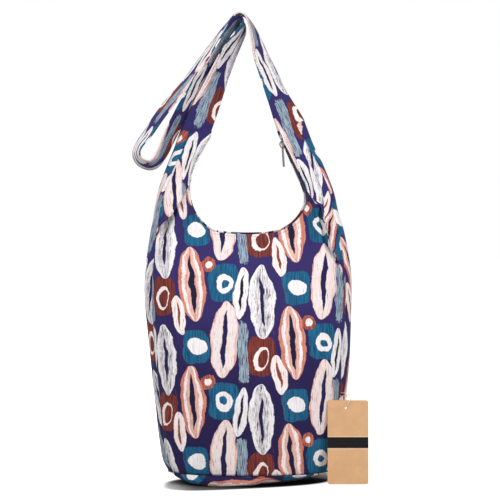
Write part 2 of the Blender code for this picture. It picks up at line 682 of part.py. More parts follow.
def build_slider():
    """Zip slider: two waisted plates held apart by a post between the rows, with side flanges and a bridge."""
    place = slider_frame()
    half, long = SLIDER_HALF, SLIDER_LENGTH / 2
    inner = COIL_HEIGHT / 2 + GAP
    outer = inner + SLIDER_PLATE
    shield = [(-long, -0.62 * half), (-0.1 * long, -half), (0.7 * long, -half), (long, -0.7 * half)]
    shield += [(long, 0.7 * half), (0.7 * long, half), (-0.1 * long, half), (-long, 0.62 * half)]
    post_half = COIL_HALF_GAP - GAP
    post = rectangle(0.3 * long, 0.9 * long, -post_half, post_half)
    blocks = [block(shield, inner, outer, place), block(post, -inner - JOIN_SINK, inner + JOIN_SINK, place)]
    blocks.append(block(shield, -outer, -inner, place))
    for side in (-1, 1):
        near, far = sorted((side * (half - SLIDER_FLANGE), side * (half - RAIL_INSET)))
        rail = rectangle(-0.05 * long, 0.65 * long, near, far)
        for sign in (-1, 1):
            low, high = sorted((sign * (TAPE / 2 + GAP), sign * (inner + JOIN_SINK)))
            blocks.append(block(rail, low, high, place))
    foot, wire, wide = outer - JOIN_SINK, BRIDGE_WIRE, BRIDGE_WIDTH / 2
    reach, crown = BRIDGE_LENGTH / 2, outer + BRIDGE_HEIGHT
    profile = [(-reach, foot), (-reach, crown - 2 * wire), (-reach + 1.2 * wire, crown), (reach - 1.2 * wire, crown)]
    profile += [(reach, crown - 2 * wire), (reach, foot), (reach - wire, foot)]
    profile += [(reach - wire, crown - 2.2 * wire), (reach - 1.8 * wire, crown - wire)]
    profile += [(-reach + 1.8 * wire, crown - wire), (-reach + wire, crown - 2.2 * wire), (-reach + wire, foot)]
    point, along, across, out = place
    bridge = [[point + a * along + b * out + w * across for a, b in profile] for w in (-wide, wide)]
    blocks.append(bridge)
    made = join_blocks("zip_slider", blocks, "zip_metal")
    set_origin(made, point)
    for tool in [m.object for m in made.modifiers]:
        tool.parent = made
        tool.matrix_parent_inverse = made.matrix_world.inverted()
        tool.location = [0, 0, 0]
        set_origin(tool, point)
        tool.matrix_parent_inverse.identity()
        tool.location = [0, 0, 0]


def hang_direction(across):
    """Way that a pull hangs from a pin along the given direction."""
    down = np.array([0, 0, -1.0])
    return unit(down - np.dot(down, across) * across)


def pull_pivot():
    """Middle of the pull's cross bar, in the lower end of the bridge."""
    point, along, across, out = slider_frame()
    inner = COIL_HEIGHT / 2 + GAP + SLIDER_PLATE
    clear = PULL_THICKNESS * 0.75 + GAP
    return point + (inner + clear + 0.5 * MM) * out - (BRIDGE_LENGTH / 2 - BRIDGE_WIRE - clear) * along


def build_pull():
    """Flat pull with a rectangular eye whose cross bar turns under the bridge."""
    across = slider_frame()[2]
    down = hang_direction(across)
    face = np.cross(across, down)
    pivot = pull_pivot()
    half, bar, eye = PULL_WIDTH / 2, PULL_THICKNESS / 2, PULL_EYE
    outline = [(-half, -bar), (half, -bar), (half, PULL_LENGTH - PULL_CORNER), (0.4 * half, PULL_LENGTH)]
    outline += [(-0.4 * half, PULL_LENGTH), (-half, PULL_LENGTH - PULL_CORNER)]
    inside = rectangle(-(half - PULL_ARM), half - PULL_ARM, bar, eye)

    def ring(shape, depth):
        return [pivot + a * across + b * down + depth * face for a, b in shape]

    made = sweep("zip_pull", [ring(outline, -bar), ring(outline, bar)], "zip_metal")
    tool = sweep("zip_pull_eye", [ring(inside, -2 * bar), ring(inside, 2 * bar)], "zip_metal")
    tool.hide_render = True
    tool.display_type = "WIRE"
    cut = made.modifiers.new("eye", "BOOLEAN")
    cut.operation = "DIFFERENCE"
    cut.solver = "EXACT"
    cut.object = tool
    set_origin(made, pivot)


def strap_rings():
    """Rings of the band along its route, with rounded edges. They stand closer where the route bends."""
    start = ARM_TOP_RIGHT - STRAP_INSERT * unit(STRAP_WAY_RIGHT)
    end = ARM_TOP_LEFT + STRAP_INSERT * unit(STRAP_WAY_LEFT)
    route = [(*start, ARM_TWIST_RIGHT), (*ARM_TOP_RIGHT, ARM_TWIST_RIGHT)]
    route += [(x * MM, y * MM, z * MM, twist) for x, y, z, twist in STRAP_ROUTE]
    last = HALF_TURN + ARM_TWIST_LEFT
    route += [(*ARM_TOP_LEFT, last), (*end, last)]
    rows = smooth_curve(route, STRAP_RINGS)
    way = np.gradient(rows[:, :3], axis=0)
    width, face = strap_axes(way, rows[:, 3])
    w, t, e = STRAP_WIDTH / 2, STRAP_THICKNESS / 2, STRAP_EDGE_ROUND
    section = [(-w, -t + e), (-w + e, -t), (w - e, -t), (w, -t + e), (w, t - e), (w - e, t), (-w + e, t), (-w, t - e)]
    return [[p + a * wide + b * out for a, b in section] for p, wide, out in zip(rows[:, :3], width, face)]


def build_strap():
    sweep("strap", strap_rings(), "strap_print")


def build_tag():
    """Kraft card with rounded corners and a round hole near its top, hanging plumb beside the bag."""
    half, corner = TAG_WIDTH / 2, TAG_CORNER
    foot, head = TAG_FOOT, TAG_FOOT + TAG_HEIGHT
    outline = []
    for sx, z, start in ((1, foot, -90), (1, head, 0), (-1, head, 90), (-1, foot, 180)):
        centre_x = TAG_MIDDLE + sx * (half - corner)
        centre_z = z + corner if z == foot else z - corner
        for turn in np.radians(np.linspace(start, start + 90, 5)):
            outline.append((centre_x + corner * math.cos(turn), centre_z + corner * math.sin(turn)))
    rings = [[np.array([x, y, z]) for x, z in outline] for y in (TAG_FRONT, TAG_FRONT + TAG_THICKNESS)]
    card = sweep("tag_card", rings, "kraft_card")
    hole_at = STRING_ROUTE[STRING_HOLE_POINT]
    turns = np.linspace(0, 2 * math.pi, 16, endpoint=False)
    radius = TAG_HOLE / 2
    centre = (hole_at[0] * MM, head - TAG_HOLE_DROP)
    hole = [[np.array([centre[0] + radius * math.cos(a), y, centre[1] + radius * math.sin(a)]) for a in turns]
            for y in (TAG_FRONT - TAG_THICKNESS, TAG_FRONT + 2 * TAG_THICKNESS)]
    tool = sweep("tag_card_hole", hole, "kraft_card")
    tool.hide_render = True
    tool.display_type = "WIRE"
    cut = card.modifiers.new("hole", "BOOLEAN")
    cut.operation = "DIFFERENCE"
    cut.solver = "EXACT"
    cut.object = tool


def seam_points(height, distances):
    """Points at distances out from the right side seam at a height, square to the front panel."""
    part = (height - BASE_SEAM_HEIGHT) / (SHOULDER_HEIGHT - BASE_SEAM_HEIGHT)
    low, high = body_grid("front", [part, part + 1 / BODY_ROWS])
    normal = unit(np.cross(low[-1] - low[-2], high[-1] - low[-1]))
    return [low[-1] + distance * normal for distance in distances]


def build_string():
    """Thin string from the side seam through the card's hole and back."""
    first, last = (seam_points(height, (GAP, GAP + STRING_STANDOFF)) for height in STRING_ENDS)
    route = smooth_curve(first + [np.array(p) * MM for p in STRING_ROUTE] + last[::-1], 8)
    total = arc_lengths(route)[-1]
    points = sample(route, np.linspace(0, total, STRING_STATIONS))
    curve = bpy.data.curves.new("tag_string", "CURVE")
    curve.dimensions = "3D"
    curve.bevel_depth = STRING_WIDTH / 2
    curve.bevel_resolution = 2
    curve.use_fill_caps = True
    spline = curve.splines.new("POLY")
    spline.points.add(len(points) - 1)
    for target, point in zip(spline.points, points):
        target.co = (*map(float, point), 1)
    made = bpy.data.objects.new("tag_string", curve)
    bpy.context.scene.collection.objects.link(made)
    curve.materials.append(material("tag_thread"))


def main():
    for old in list(bpy.data.objects):
        bpy.data.objects.remove(old, do_unlink=True)
    build_panels()
    build_base()
    build_lining()
    build_pocket()
    build_tapes()
    build_coils()
    build_stops()
    build_slider()
    build_pull()
    build_strap()
    build_tag()
    build_string()


main()
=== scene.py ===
# %% [markdown]
# # A crossbody bag in printed canvas
#
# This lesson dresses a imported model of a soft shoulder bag: one panel in front and one behind, a turned-up
# base, a zipped U mouth, two shoulder arms that lap over the front panel and run into one long strap, and a
# kraft tag on a thread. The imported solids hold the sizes. Here each piece gets its folds, seams and cloth.
# Every new surface is a grid of points worked out with numpy, so a change of a number reshapes the piece.

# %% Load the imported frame
import math

import bpy
import numpy as np
from mathutils import Matrix


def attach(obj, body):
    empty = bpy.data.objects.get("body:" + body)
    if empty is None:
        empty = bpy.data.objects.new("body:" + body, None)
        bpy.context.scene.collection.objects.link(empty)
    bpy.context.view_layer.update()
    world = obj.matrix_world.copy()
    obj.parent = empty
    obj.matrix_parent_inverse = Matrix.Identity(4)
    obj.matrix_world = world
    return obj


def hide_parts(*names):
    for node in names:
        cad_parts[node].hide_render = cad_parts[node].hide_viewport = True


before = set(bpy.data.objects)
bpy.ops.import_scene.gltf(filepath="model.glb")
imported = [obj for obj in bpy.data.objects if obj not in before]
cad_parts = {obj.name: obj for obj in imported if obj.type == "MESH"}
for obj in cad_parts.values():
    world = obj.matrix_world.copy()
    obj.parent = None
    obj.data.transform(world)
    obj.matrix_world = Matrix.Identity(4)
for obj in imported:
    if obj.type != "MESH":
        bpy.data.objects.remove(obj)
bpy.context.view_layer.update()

MM = 0.001

# %% [markdown]
# ## Curves
#
# Cloth has no straight edges once it hangs. A Catmull-Rom curve goes through a few chosen points and bends
# evenly between them, so it suits seams, mouths and straps. A two-column table read along such a curve gives
# a size that changes smoothly with height.

# %% Curve helpers
def smooth_step(t):
    """Rises from 0 to 1 with level ends: 3t^2 - 2t^3."""
    t = np.clip(t, 0, 1)
    return t * t * (3 - 2 * t)


def unit(v):
    """The same directions with length one."""
    return v / np.maximum(np.linalg.norm(v, axis=-1, keepdims=True), 1e-12)


def square_to(v, way):
    """Unit directions square to a way and nearest to the vectors v: v - (v . way) way, made length one."""
    return unit(v - np.sum(v * way, axis=-1, keepdims=True) * way)


def smooth_curve(points, per_span=12):
    """Catmull-Rom curve: each span is a cubic whose end slopes come from the points on either side."""
    p = np.asarray(points, float)
    p = np.vstack([2 * p[0] - p[1], p, 2 * p[-1] - p[-2]])
    a, b, c, d = (p[k:len(p) - 3 + k][:, None] for k in range(4))
    t = np.linspace(0, 1, per_span, endpoint=False)[None, :, None]
    cubic = t * (3 * b - a - 3 * c + d) + 2 * a - 5 * b + 4 * c - d
    spans = b + 0.5 * t * (c - a + t * cubic)
    return np.vstack([spans.reshape(-1, p.shape[1]), p[-2:-1]])


def read_off(table, where):
    """Value of a two-column table at each place, on a smooth curve through its rows."""
    curve = smooth_curve(table)
    return np.interp(where, curve[:, 0], curve[:, 1])


def run_lengths(points, axis=0):
    """Distance along a line of points from its start, for each point."""
    steps = np.linalg.norm(np.diff(points, axis=axis), axis=-1)
    lead = np.zeros_like(np.take(steps, [0], axis=axis))
    return np.concatenate([lead, np.cumsum(steps, axis=axis)], axis=axis)


def between(where, places, rows):
    """Rows of numbers read between the places they stand for, column by column."""
    return np.stack([np.interp(where, places, column) for column in rows.T], axis=-1)


def sample(curve, lengths):
    """Points of a curve at lengths along it."""
    return between(lengths, run_lengths(curve[:, :3]), curve)


def spaced(stops, counts):
    """Numbers that run from stop to stop, so many in each span, with the shared stops given once."""
    spans = [np.linspace(a, b, n) for a, b, n in zip(stops, stops[1:], counts)]
    return np.concatenate(spans[:1] + [span[1:] for span in spans[1:]])


def ripple(u, v, seed, waves=7):
    """Smooth unevenness between about -1 and 1: a sum of sines with chosen directions and phases."""
    random = np.random.default_rng(seed)
    total = np.zeros(np.broadcast(u, v).shape)
    for _ in range(waves):
        turn, phase = random.uniform(0, 2 * math.pi, 2)
        pitch = random.uniform(0.6, 1.8)
        total += np.sin(pitch * (u * math.cos(turn) + v * math.sin(turn)) + phase)
    return total / math.sqrt(waves)


# %% [markdown]
# ## Sizes of the bag
#
# These are the sizes of the solids: how deep the bag is at each height, its left and right outlines as seen
# from the front, where its arms run into the strap, and the line of its mouth. The tables are in millimetres
# and the turns in degrees. DEPTHS gives half the depth by the part of the body's height, and OUTLINE gives
# the sideways place by the height.

# %% Driving sizes
# Canvas, and the body from the base seam to the shoulders
GAP = 0.3 * MM
CANVAS = 1.2 * MM
BASE_SEAM_HEIGHT = 14.5 * MM
SHOULDER_HEIGHT = 345 * MM
BODY_HEIGHT = SHOULDER_HEIGHT - BASE_SEAM_HEIGHT
DEPTHS = [(0.0, 56), (0.12, 64), (0.35, 75), (0.6, 72), (0.8, 58), (0.92, 44), (1.0, 34)]
OUTLINE = {
    "left": [
        (0, -102), (14, -106), (33, -113), (63, -118), (94, -121), (140, -126), (186, -130), (232, -132.5),
        (262, -132.5), (293, -129.5), (327, -125.5), (352, -121.5), (375, -116), (391, -111), (406, -105.5),
        (421, -99), (437, -92), (462, -81),
    ],
    "right": [
        (0, 101), (14, 105), (33, 109.5), (63, 114.5), (109, 121), (140, 124.5), (186, 127.5), (232, 129.5),
        (262, 129), (293, 125), (321, 120), (336, 115.5), (352, 110.5), (367, 107), (382, 102), (398, 96),
        (413, 89.5), (437, 77.5), (462, 68),
    ],
}
SEAM_ANGLE = 70
ARM_ANGLE = 35

# The strap, where and how it meets each arm, and how the arm fills out from there
STRAP_WIDTH = 36 * MM
STRAP_THICKNESS = 3 * MM
ARM_TOP = {"left": np.array([-64, 0, 454.5]) * MM, "right": np.array([51.2, 0, 454.5]) * MM}
STRAP_WAY = {"left": np.array([-0.360, 0, -0.933]), "right": np.array([-0.410, 0, 0.912])}
ARM_TWIST = {"left": -26, "right": 26}
ARM_SIDE_EASE = {"left": -1.6 * MM, "right": 0.5 * MM}
ARM_FOLD = 3.6 * MM
ARM_TOP_EASE = 0.5 * MM
ARM_FULLNESS = 32 * MM
ARM_NECK_FULLNESS = 8.5 * MM
ARM_NECK = 10 * MM
NECK_EASE = 46 * MM
ARM_SEAM_TOP = 0.66
ARM_SEAM_LOW = 0.86

# The mouth's line from the left arm to the straight stretch on the right, and its zip
MOUTH_LINE = [
    (-55.8, 7.0, 436), (-64, 5.6, 420.5), (-72, 4.0, 404.5), (-76.6, 2.6, 389), (-77.8, 1.4, 372.5),
    (-75.8, 0.6, 356), (-70.5, 0.2, 341), (-61, 0, 327.5), (-47.5, 0, 318.5), (-28, 0, 315.3),
    (-3, 0, 314.3), (22, 0, 315.3), (40, 0, 319), (54.5, 0, 327.5), (65.5, -0.6, 339), (71.8, -1.8, 351.5),
    (72.6, -2.8, 364),
]
STRAIGHT_FOOT = np.array([69.1, -3.4, 375.2]) * MM
CROTCH_HEIGHT = 338 * MM
MOUTH_TWIST = 10
ZIP_RECESS = 3 * MM
SLOT_HALF = 6.95 * MM


# %% [markdown]
# ## The mouth line and the frame along it
#
# The zip runs down one arm, round the U and up the other. At each point of that line a small frame says
# which way the zip runs, which way is across to the back panel, and which way is out of the bag.

# %% Mouth line
def strap_axes(way, twist):
    """Width and outer face directions of a band: its side direction turned about its way by the twist."""
    way = unit(np.atleast_2d(way))
    turn = np.radians(np.atleast_1d(twist))[:, None]
    outward = unit(np.column_stack([way[:, 2], np.zeros(len(way)), -way[:, 0]]))
    width = square_to(np.cos(turn) * outward + np.sin(turn) * np.array([0, 1, 0]), way)
    return width, np.cross(width, way)


def arm_ends(arm):
    """Mouth edge and outer fold of an arm where it meets the strap."""
    width = strap_axes(STRAP_WAY[arm], ARM_TWIST[arm])[0][0]
    inner = ARM_TOP[arm] - (STRAP_WIDTH / 2 + ARM_SIDE_EASE[arm]) * width
    return inner, ARM_TOP[arm] + (STRAP_WIDTH / 2 + ARM_FOLD) * width


INNER, OUTER = ({arm: arm_ends(arm)[k] for arm in ARM_TOP} for k in (0, 1))
straight = [STRAIGHT_FOOT + (INNER["right"] - STRAIGHT_FOOT) * t for t in np.linspace(0, 1, 6)]
MOUTH = smooth_curve([INNER["left"]] + [np.array(p) * MM for p in MOUTH_LINE] + straight, 24)
MOUTH_LENGTH = run_lengths(MOUTH)[-1]
STRAIGHT_LENGTH = np.linalg.norm(INNER["right"] - STRAIGHT_FOOT)
ARM_HALF_TOP = STRAP_THICKNESS / 2 + GAP + CANVAS + ARM_TOP_EASE
# Roll of the across way by the length along the mouth, in degrees
MOUTH_ROLL = np.array([
    (0, ARM_TWIST["left"]), (18 * MM, -12), (52 * MM, -5), (0.38 * MOUTH_LENGTH, MOUTH_TWIST),
    (0.62 * MOUTH_LENGTH, MOUTH_TWIST), (MOUTH_LENGTH - STRAIGHT_LENGTH, 17), (MOUTH_LENGTH - 50 * MM, 16),
    (MOUTH_LENGTH - 28 * MM, 13), (MOUTH_LENGTH - 17 * MM, 5), (MOUTH_LENGTH, ARM_TWIST["right"]),
])
# How flush the zip lies at an arm's top, where it starts to sink, and over what run
FLUSH = {"left": (0.65, 90 * MM, 40 * MM), "right": (0.88, 70 * MM, 45 * MM)}
print("Mouth line in mm:", round(MOUTH_LENGTH / MM, 1))


def mouth_frame(lengths):
    """Point, way along, way across and way out: the across way leans by a roll that eases along the line."""
    step = 0.8 * MM
    low = np.clip(lengths - step, 0, MOUTH_LENGTH - 2 * step)
    along = unit(sample(MOUTH, low + 2 * step) - sample(MOUTH, low))
    rise = unit(np.stack([-along[..., 2], 0 * along[..., 2], along[..., 0]], axis=-1))
    roll = np.radians(np.interp(lengths, *MOUTH_ROLL.T))[..., None]
    across = square_to(np.cos(roll) * np.array([0, 1, 0]) + np.sin(roll) * rise, along)
    return sample(MOUTH, lengths), along, across, np.cross(along, across)


def flush_share(from_end, arm):
    """How much of the zip's recess is lost near the top of an arm, and over what run it comes back."""
    share, start, run = FLUSH[arm]
    return share * (1 - smooth_step((from_end - start) / run))


def mouth_edge(lengths, side):
    """Edge of the front (side -1) or back (side 1) panel beside the zip, and its half gap."""
    point, _, across, out = mouth_frame(lengths)
    open_part = smooth_step(np.minimum(lengths, MOUTH_LENGTH - lengths) / ARM_NECK)
    half = ARM_HALF_TOP + (SLOT_HALF - ARM_HALF_TOP) * open_part
    flush = flush_share(lengths, "left") + flush_share(MOUTH_LENGTH - lengths, "right")
    deep = ZIP_RECESS * open_part * (1 - flush)
    return point + side * half[..., None] * across + deep[..., None] * out, half


def crotch_lengths():
    """Lengths along the mouth where its line passes the crotch height, on the left and on the right."""
    s, lowest = run_lengths(MOUTH), int(np.argmin(MOUTH[:, 2]))
    left = np.interp(-CROTCH_HEIGHT, -MOUTH[:lowest, 2], s[:lowest])
    return left, np.interp(CROTCH_HEIGHT, MOUTH[lowest:, 2], s[lowest:])


CROTCH_LEFT, CROTCH_RIGHT = crotch_lengths()
ARM_LENGTH = {"left": CROTCH_LEFT, "right": MOUTH_LENGTH - CROTCH_RIGHT}


def from_top(arm, lengths):
    """Lengths along the mouth line turned into lengths from an arm's top, or back again."""
    return MOUTH_LENGTH - lengths if arm == "right" else lengths


# %% [markdown]
# ## The shape of the canvas
#
# Below the shoulders the bag is an oval tube whose width and depth change with height. Above them each arm
# is a flattened roll between the mouth edge and an outer fold. Both are functions of two parameters, and
# the tube's top row is drawn towards the arms' first row, so that they meet without a step.

# %% Arms and body as surfaces
SIDE = {"front": -1, "back": 1}
ARM_COLUMNS = {"front": 40, "back": 66}
MIDDLE = 90
# An arm's roll: the power of its growth, its roundness at the strap and lower down, and the places from
# which it is full and up to which it follows the mouth's edge
ARM_SWELL = 1.35
ROLL_POWER = (8.0, 2.3)
FULL_FROM, EDGE_TO = 0.45, 0.3


def outline_x(arm, height):
    """Sideways place of the bag's left or right outline at a height."""
    return read_off(OUTLINE[arm], height / MM) * MM


def fold_line(arm, down):
    """Outer fold of an arm: the bag's outline, drawn over towards the strap's edge as it rises."""
    top = OUTER[arm]
    height = top[2] + (SHOULDER_HEIGHT - top[2]) * down
    shift = top[0] - outline_x(arm, top[2])
    return np.stack([outline_x(arm, height) + shift * (1 - down), top[1] * (1 - down), height], axis=-1)


def arm_thickness(arm, from_end, place, half):
    """Half thickness t (1 - place^n)^(1/n). Down the arm t grows, and n falls, which rounds the roll."""
    full = ARM_HALF_TOP + (ARM_NECK_FULLNESS - ARM_HALF_TOP) * smooth_step(from_end / NECK_EASE)
    swell = np.maximum(0, (from_end - ARM_NECK) / ARM_LENGTH[arm]) ** ARM_SWELL
    full = full + (ARM_FULLNESS - ARM_NECK_FULLNESS) * swell
    at_strap, lower = ROLL_POWER
    power = (lower + (at_strap - lower) * (1 - smooth_step(from_end / (4 * ARM_NECK))))[:, None]
    thick = half[:, None] + (full - half)[:, None] * smooth_step(place / FULL_FROM)
    return thick * np.maximum(0, 1 - place**power) ** (1 / power)


def arm_surface(arm, down, place, side):
    """Points of an arm. down is 0 at the strap and 1 at the crotch; place is 0 at the mouth edge and 1 at the
    outer fold. Near the mouth the points are drawn to the panel's edge beside the zip."""
    down = np.asarray(down, float)
    place = np.broadcast_to(place, (len(down), np.shape(place)[-1]))
    from_end = down * ARM_LENGTH[arm]
    lengths = from_top(arm, from_end)
    inner, outer = sample(MOUTH, lengths), fold_line(arm, down)
    reach = np.linalg.norm(outer - inner, axis=-1)
    width = (outer - inner) / reach[:, None]
    face = unit(np.array([0, side, 0]) - side * width[:, 1:2] * width)
    edge, half = mouth_edge(lengths, side)
    thick = arm_thickness(arm, from_end, place, half)
    points = inner[:, None] + (place * reach[:, None])[..., None] * width[:, None]
    points = points + thick[..., None] * face[:, None]
    fix = edge - (inner + half[:, None] * face)
    return points + (np.clip(1 - place / EDGE_TO, 0, 1) ** 2)[..., None] * fix[:, None]


def places_across(down, panel):
    """Places across an arm from the side seam to the mouth edge, evenly turned, each set with its side of the
    arm. The seam crosses the front face, so the back panel's places start there and go round the fold."""
    seam = ARM_SEAM_TOP + (ARM_SEAM_LOW - ARM_SEAM_TOP) * np.asarray(down, float)
    turn, count = np.arcsin(seam)[:, None], ARM_COLUMNS[panel]
    if panel == "front":
        return [(np.sin(turn * np.linspace(1, 0, count)), -1)]
    first = np.sin(turn + (math.pi / 2 - turn) * np.linspace(0, 1, count // 3 + 1)[:-1])
    rest = np.sin(np.linspace(math.pi / 2, 0, count - count // 3))
    return [(first, -1), (np.broadcast_to(rest, (len(turn), len(rest))), 1)]


def arm_rows(arm, down, panel):
    """Rows of a panel across an arm, from the side seam to the mouth edge."""
    return np.concatenate([arm_surface(arm, down, *part) for part in places_across(down, panel)], axis=1)


def oval_rows(angles, part, side):
    """Plan ovals of the tube: x from the outlines and a sine, y from the depth and a cosine."""
    part = np.asarray(part, float)
    height = BASE_SEAM_HEIGHT + BODY_HEIGHT * part
    left, right = outline_x("left", height), outline_x("right", height)
    depth = read_off(DEPTHS, part) * MM
    x = ((left + right) / 2)[:, None] + ((right - left) / 2)[:, None] * np.sin(angles)
    y = side * depth[:, None] * np.cos(angles)
    return np.stack([x, y, np.broadcast_to(height[:, None], x.shape)], axis=-1)


def column_angles(panel):
    """Plan angles of the columns from the left side seam to the right one."""
    count = ARM_COLUMNS[panel]
    if panel == "front":
        left = np.linspace(-SEAM_ANGLE, -ARM_ANGLE, count)
    else:
        fold = np.linspace(-(180 - SEAM_ANGLE), -90, count // 3 + 1)[:-1]
        left = np.concatenate([fold, np.linspace(-90, -ARM_ANGLE, count - count // 3)])
    middle = np.linspace(-ARM_ANGLE, ARM_ANGLE, MIDDLE + 2)[1:-1]
    return np.radians(np.concatenate([left, middle, -left[::-1]]))


def smoothed(rows, width):
    """Rows of vectors averaged over their neighbours, with the ends kept."""
    kernel = np.hanning(width + 2)[1:-1]
    padded = np.pad(rows, ((width // 2, width // 2), (0, 0)), mode="edge")
    return np.stack([np.convolve(c, kernel / kernel.sum(), mode="valid") for c in padded.T], axis=-1)


def body_surface(panel, part):
    """The tube's rows, each drawn towards the mouth's own row by the cube of its height."""
    side, angles = SIDE[panel], column_angles(panel)
    left, right = (arm_rows(arm, [1], panel)[0] for arm in ("left", "right"))
    lengths = np.linspace(CROTCH_LEFT, CROTCH_RIGHT, MIDDLE + 2)[1:-1]
    top = np.vstack([left, mouth_edge(lengths, side)[0], right[::-1]])
    shift = top - oval_rows(angles, [1], side)[0]
    even = smoothed(shift, 21)
    part = np.asarray(part, float)[:, None, None]
    return oval_rows(angles, part[:, 0, 0], side) + part**3 * even + part**24 * (shift - even)


# %% [markdown]
# ## From a grid to a mesh
#
# A grid of points becomes quads by joining each point to its three neighbours. The same helper stores a UV
# map in metres of cloth, so that the print keeps its scale on every piece.

# %% Mesh helpers
def grid_quads(rows, columns, around=False):
    """Corner numbers of the quads of a grid, row by row."""
    across = np.arange(columns if around else columns - 1)
    row, column = np.meshgrid(np.arange(rows - 1), across, indexing="ij")
    here, beside = row * columns + column, row * columns + (column + 1) % columns
    return np.stack([here, beside, beside + columns, here + columns], axis=-1).reshape(-1, 4)


def put_in_scene(name, data):
    """A new object that holds the data, linked to the scene."""
    made = bpy.data.objects.new(name, data)
    bpy.context.scene.collection.objects.link(made)
    return made


def mesh_from(name, points, faces, finish, uv=None):
    """A smooth-shaded object from points, a list of faces and an optional UV for each point."""
    mesh = bpy.data.meshes.new(name)
    mesh.from_pydata(np.asarray(points, float).tolist(), [], faces)
    mesh.update()
    if uv is not None:
        corners = np.zeros(len(mesh.loops), dtype=np.int32)
        mesh.loops.foreach_get("vertex_index", corners)
        layer = mesh.uv_layers.new(name="cloth")
        layer.data.foreach_set("uv", np.asarray(uv, np.float32)[corners].ravel())
    mesh.shade_smooth()
    mesh.materials.append(finish)
    return put_in_scene(name, mesh)


def thicken(piece, thickness, inwards=True):
    """Gives a sheet its thickness by Solidify: inwards from the grid, or half to each side of it."""
    solid = piece.modifiers.new("thickness", "SOLIDIFY")
    solid.thickness = thickness
    solid.offset = -1 if inwards else 0
    return piece


def plain_uv(grid):
    """UVs of plain cloth in metres: the lengths along a grid's rows and along its columns."""
    return np.stack([run_lengths(grid, axis=1), run_lengths(grid, axis=0)], axis=-1)


def cloth_piece(name, grids, finish, thickness, uvs=None, inwards=True, flip=False):
    """One or more grids joined at their shared borders and given a thickness."""
    faces, start = [], 0
    for grid in grids:
        quads = grid_quads(*grid.shape[:2]) + start
        faces += (quads[:, ::-1] if flip else quads).tolist()
        start += grid.shape[0] * grid.shape[1]
    uvs = uvs or [plain_uv(grid) for grid in grids]
    points, uv = (np.vstack([a.reshape(-1, a.shape[-1]) for a in arrays]) for arrays in (grids, uvs))
    made = mesh_from(name, points, faces, finish, uv)
    if len(grids) > 1:
        made.modifiers.new("join borders", "WELD").merge_threshold = 0.02 * MM
    return thicken(made, thickness, inwards)


def dress(piece, node=None):
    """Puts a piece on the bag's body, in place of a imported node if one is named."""
    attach(piece, "bag")
    if node:
        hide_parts(node)


def normals_of(grid, side):
    """Unit normals of a grid of the bag's shell, turned so that most agree with the way out (6x, side, 0)."""
    normal = unit(np.cross(np.gradient(grid, axis=1), np.gradient(grid, axis=0)))
    return normal if np.sum(normal * (grid * [6, 0, 0] + [0, side, 0])) >= 0 else -normal


# %% [markdown]
# ## Node recipes
#
# Each finish is a small program of nodes. Writing a node by hand is long, so a recipe keeps the tree and
# offers sums, mixes and noise as calls. A call takes numbers or the outputs of earlier calls.

# %% Recipe helper
class Recipe:
    """A node tree under construction."""

    def __init__(self, tree):
        self.tree = tree

    def node(self, kind, inputs=None, **settings):
        """A node with its settings, whose inputs are numbers, colours or other outputs."""
        made = self.tree.nodes.new("ShaderNode" + kind)
        for key, value in settings.items():
            setattr(made, key, value)
        for key, value in (inputs or {}).items():
            self.feed(made.inputs[key], value)
        return made

    def feed(self, socket, value):
        """Links an output, or sets a number, on a socket."""
        if isinstance(value, bpy.types.NodeSocket):
            self.tree.links.new(value, socket)
        else:
            socket.default_value = value

    def calc(self, operation, a, b=0.0, c=0.0):
        """One Math node."""
        return self.node("Math", {0: a, 1: b, 2: c}, operation=operation).outputs[0]

    def add(self, a, b):
        """a + b"""
        return self.calc("ADD", a, b)

    def sub(self, a, b):
        """a - b"""
        return self.calc("SUBTRACT", a, b)

    def mul(self, a, b):
        """a b"""
        return self.calc("MULTIPLY", a, b)

    def div(self, a, b):
        """a / b"""
        return self.calc("DIVIDE", a, b)

    def power(self, a, b):
        """a to the power b"""
        return self.calc("POWER", a, b)

    def size(self, a):
        """|a|"""
        return self.calc("ABSOLUTE", a)

    def vector(self, operation, a, b):
        """One Vector Math node on two vectors."""
        return self.node("VectorMath", {0: a, 1: b}, operation=operation).outputs[0]

    def scale(self, vector, factor):
        """A vector or colour times a number."""
        return self.node("VectorMath", {0: vector, "Scale": factor}, operation="SCALE").outputs[0]

    def split(self, vector):
        """The three coordinates of a vector."""
        return self.node("SeparateXYZ", {0: vector}).outputs

    def here(self):
        """Where the shaded point is on its object, in metres."""
        return self.node("TexCoord").outputs["Object"]

    def cloth(self):
        """Where the shaded point is on its cloth, in metres."""
        return self.node("UVMap", uv_map="cloth").outputs[0]

    def fade(self, value, low, high, to_low=0.0, to_high=1.0):
        """Maps a value from one span to another with a smooth ramp, held at both ends."""
        spans = {0: value, 1: low, 2: high, 3: to_low, 4: to_high}
        return self.node("MapRange", spans, interpolation_type="SMOOTHSTEP").outputs[0]

    def mix(self, share, a, b):
        """Colour a with a share of colour b over it."""
        return self.node("Mix", {0: share, 6: a, 7: b}, data_type="RGBA").outputs[2]

    def noise(self, vector, scale, detail=2.0, roughness=0.5, stretch=None):
        """Noise between about 0 and 1, on the vector stretched by three factors."""
        if stretch is not None:
            vector = self.vector("MULTIPLY", vector, stretch)
        inputs = {"Vector": vector, "Scale": scale, "Detail": detail, "Roughness": roughness}
        return self.node("TexNoise", inputs).outputs["Fac"]


def linear(r, g, b):
    """A colour picked as 8-bit screen values, in the linear values that shaders take."""
    shares = (c / 255 for c in (r, g, b))
    return tuple(((c + 0.055) / 1.055) ** 2.4 if c > 10 / 255 else c / 12.92 for c in shares) + (1.0,)


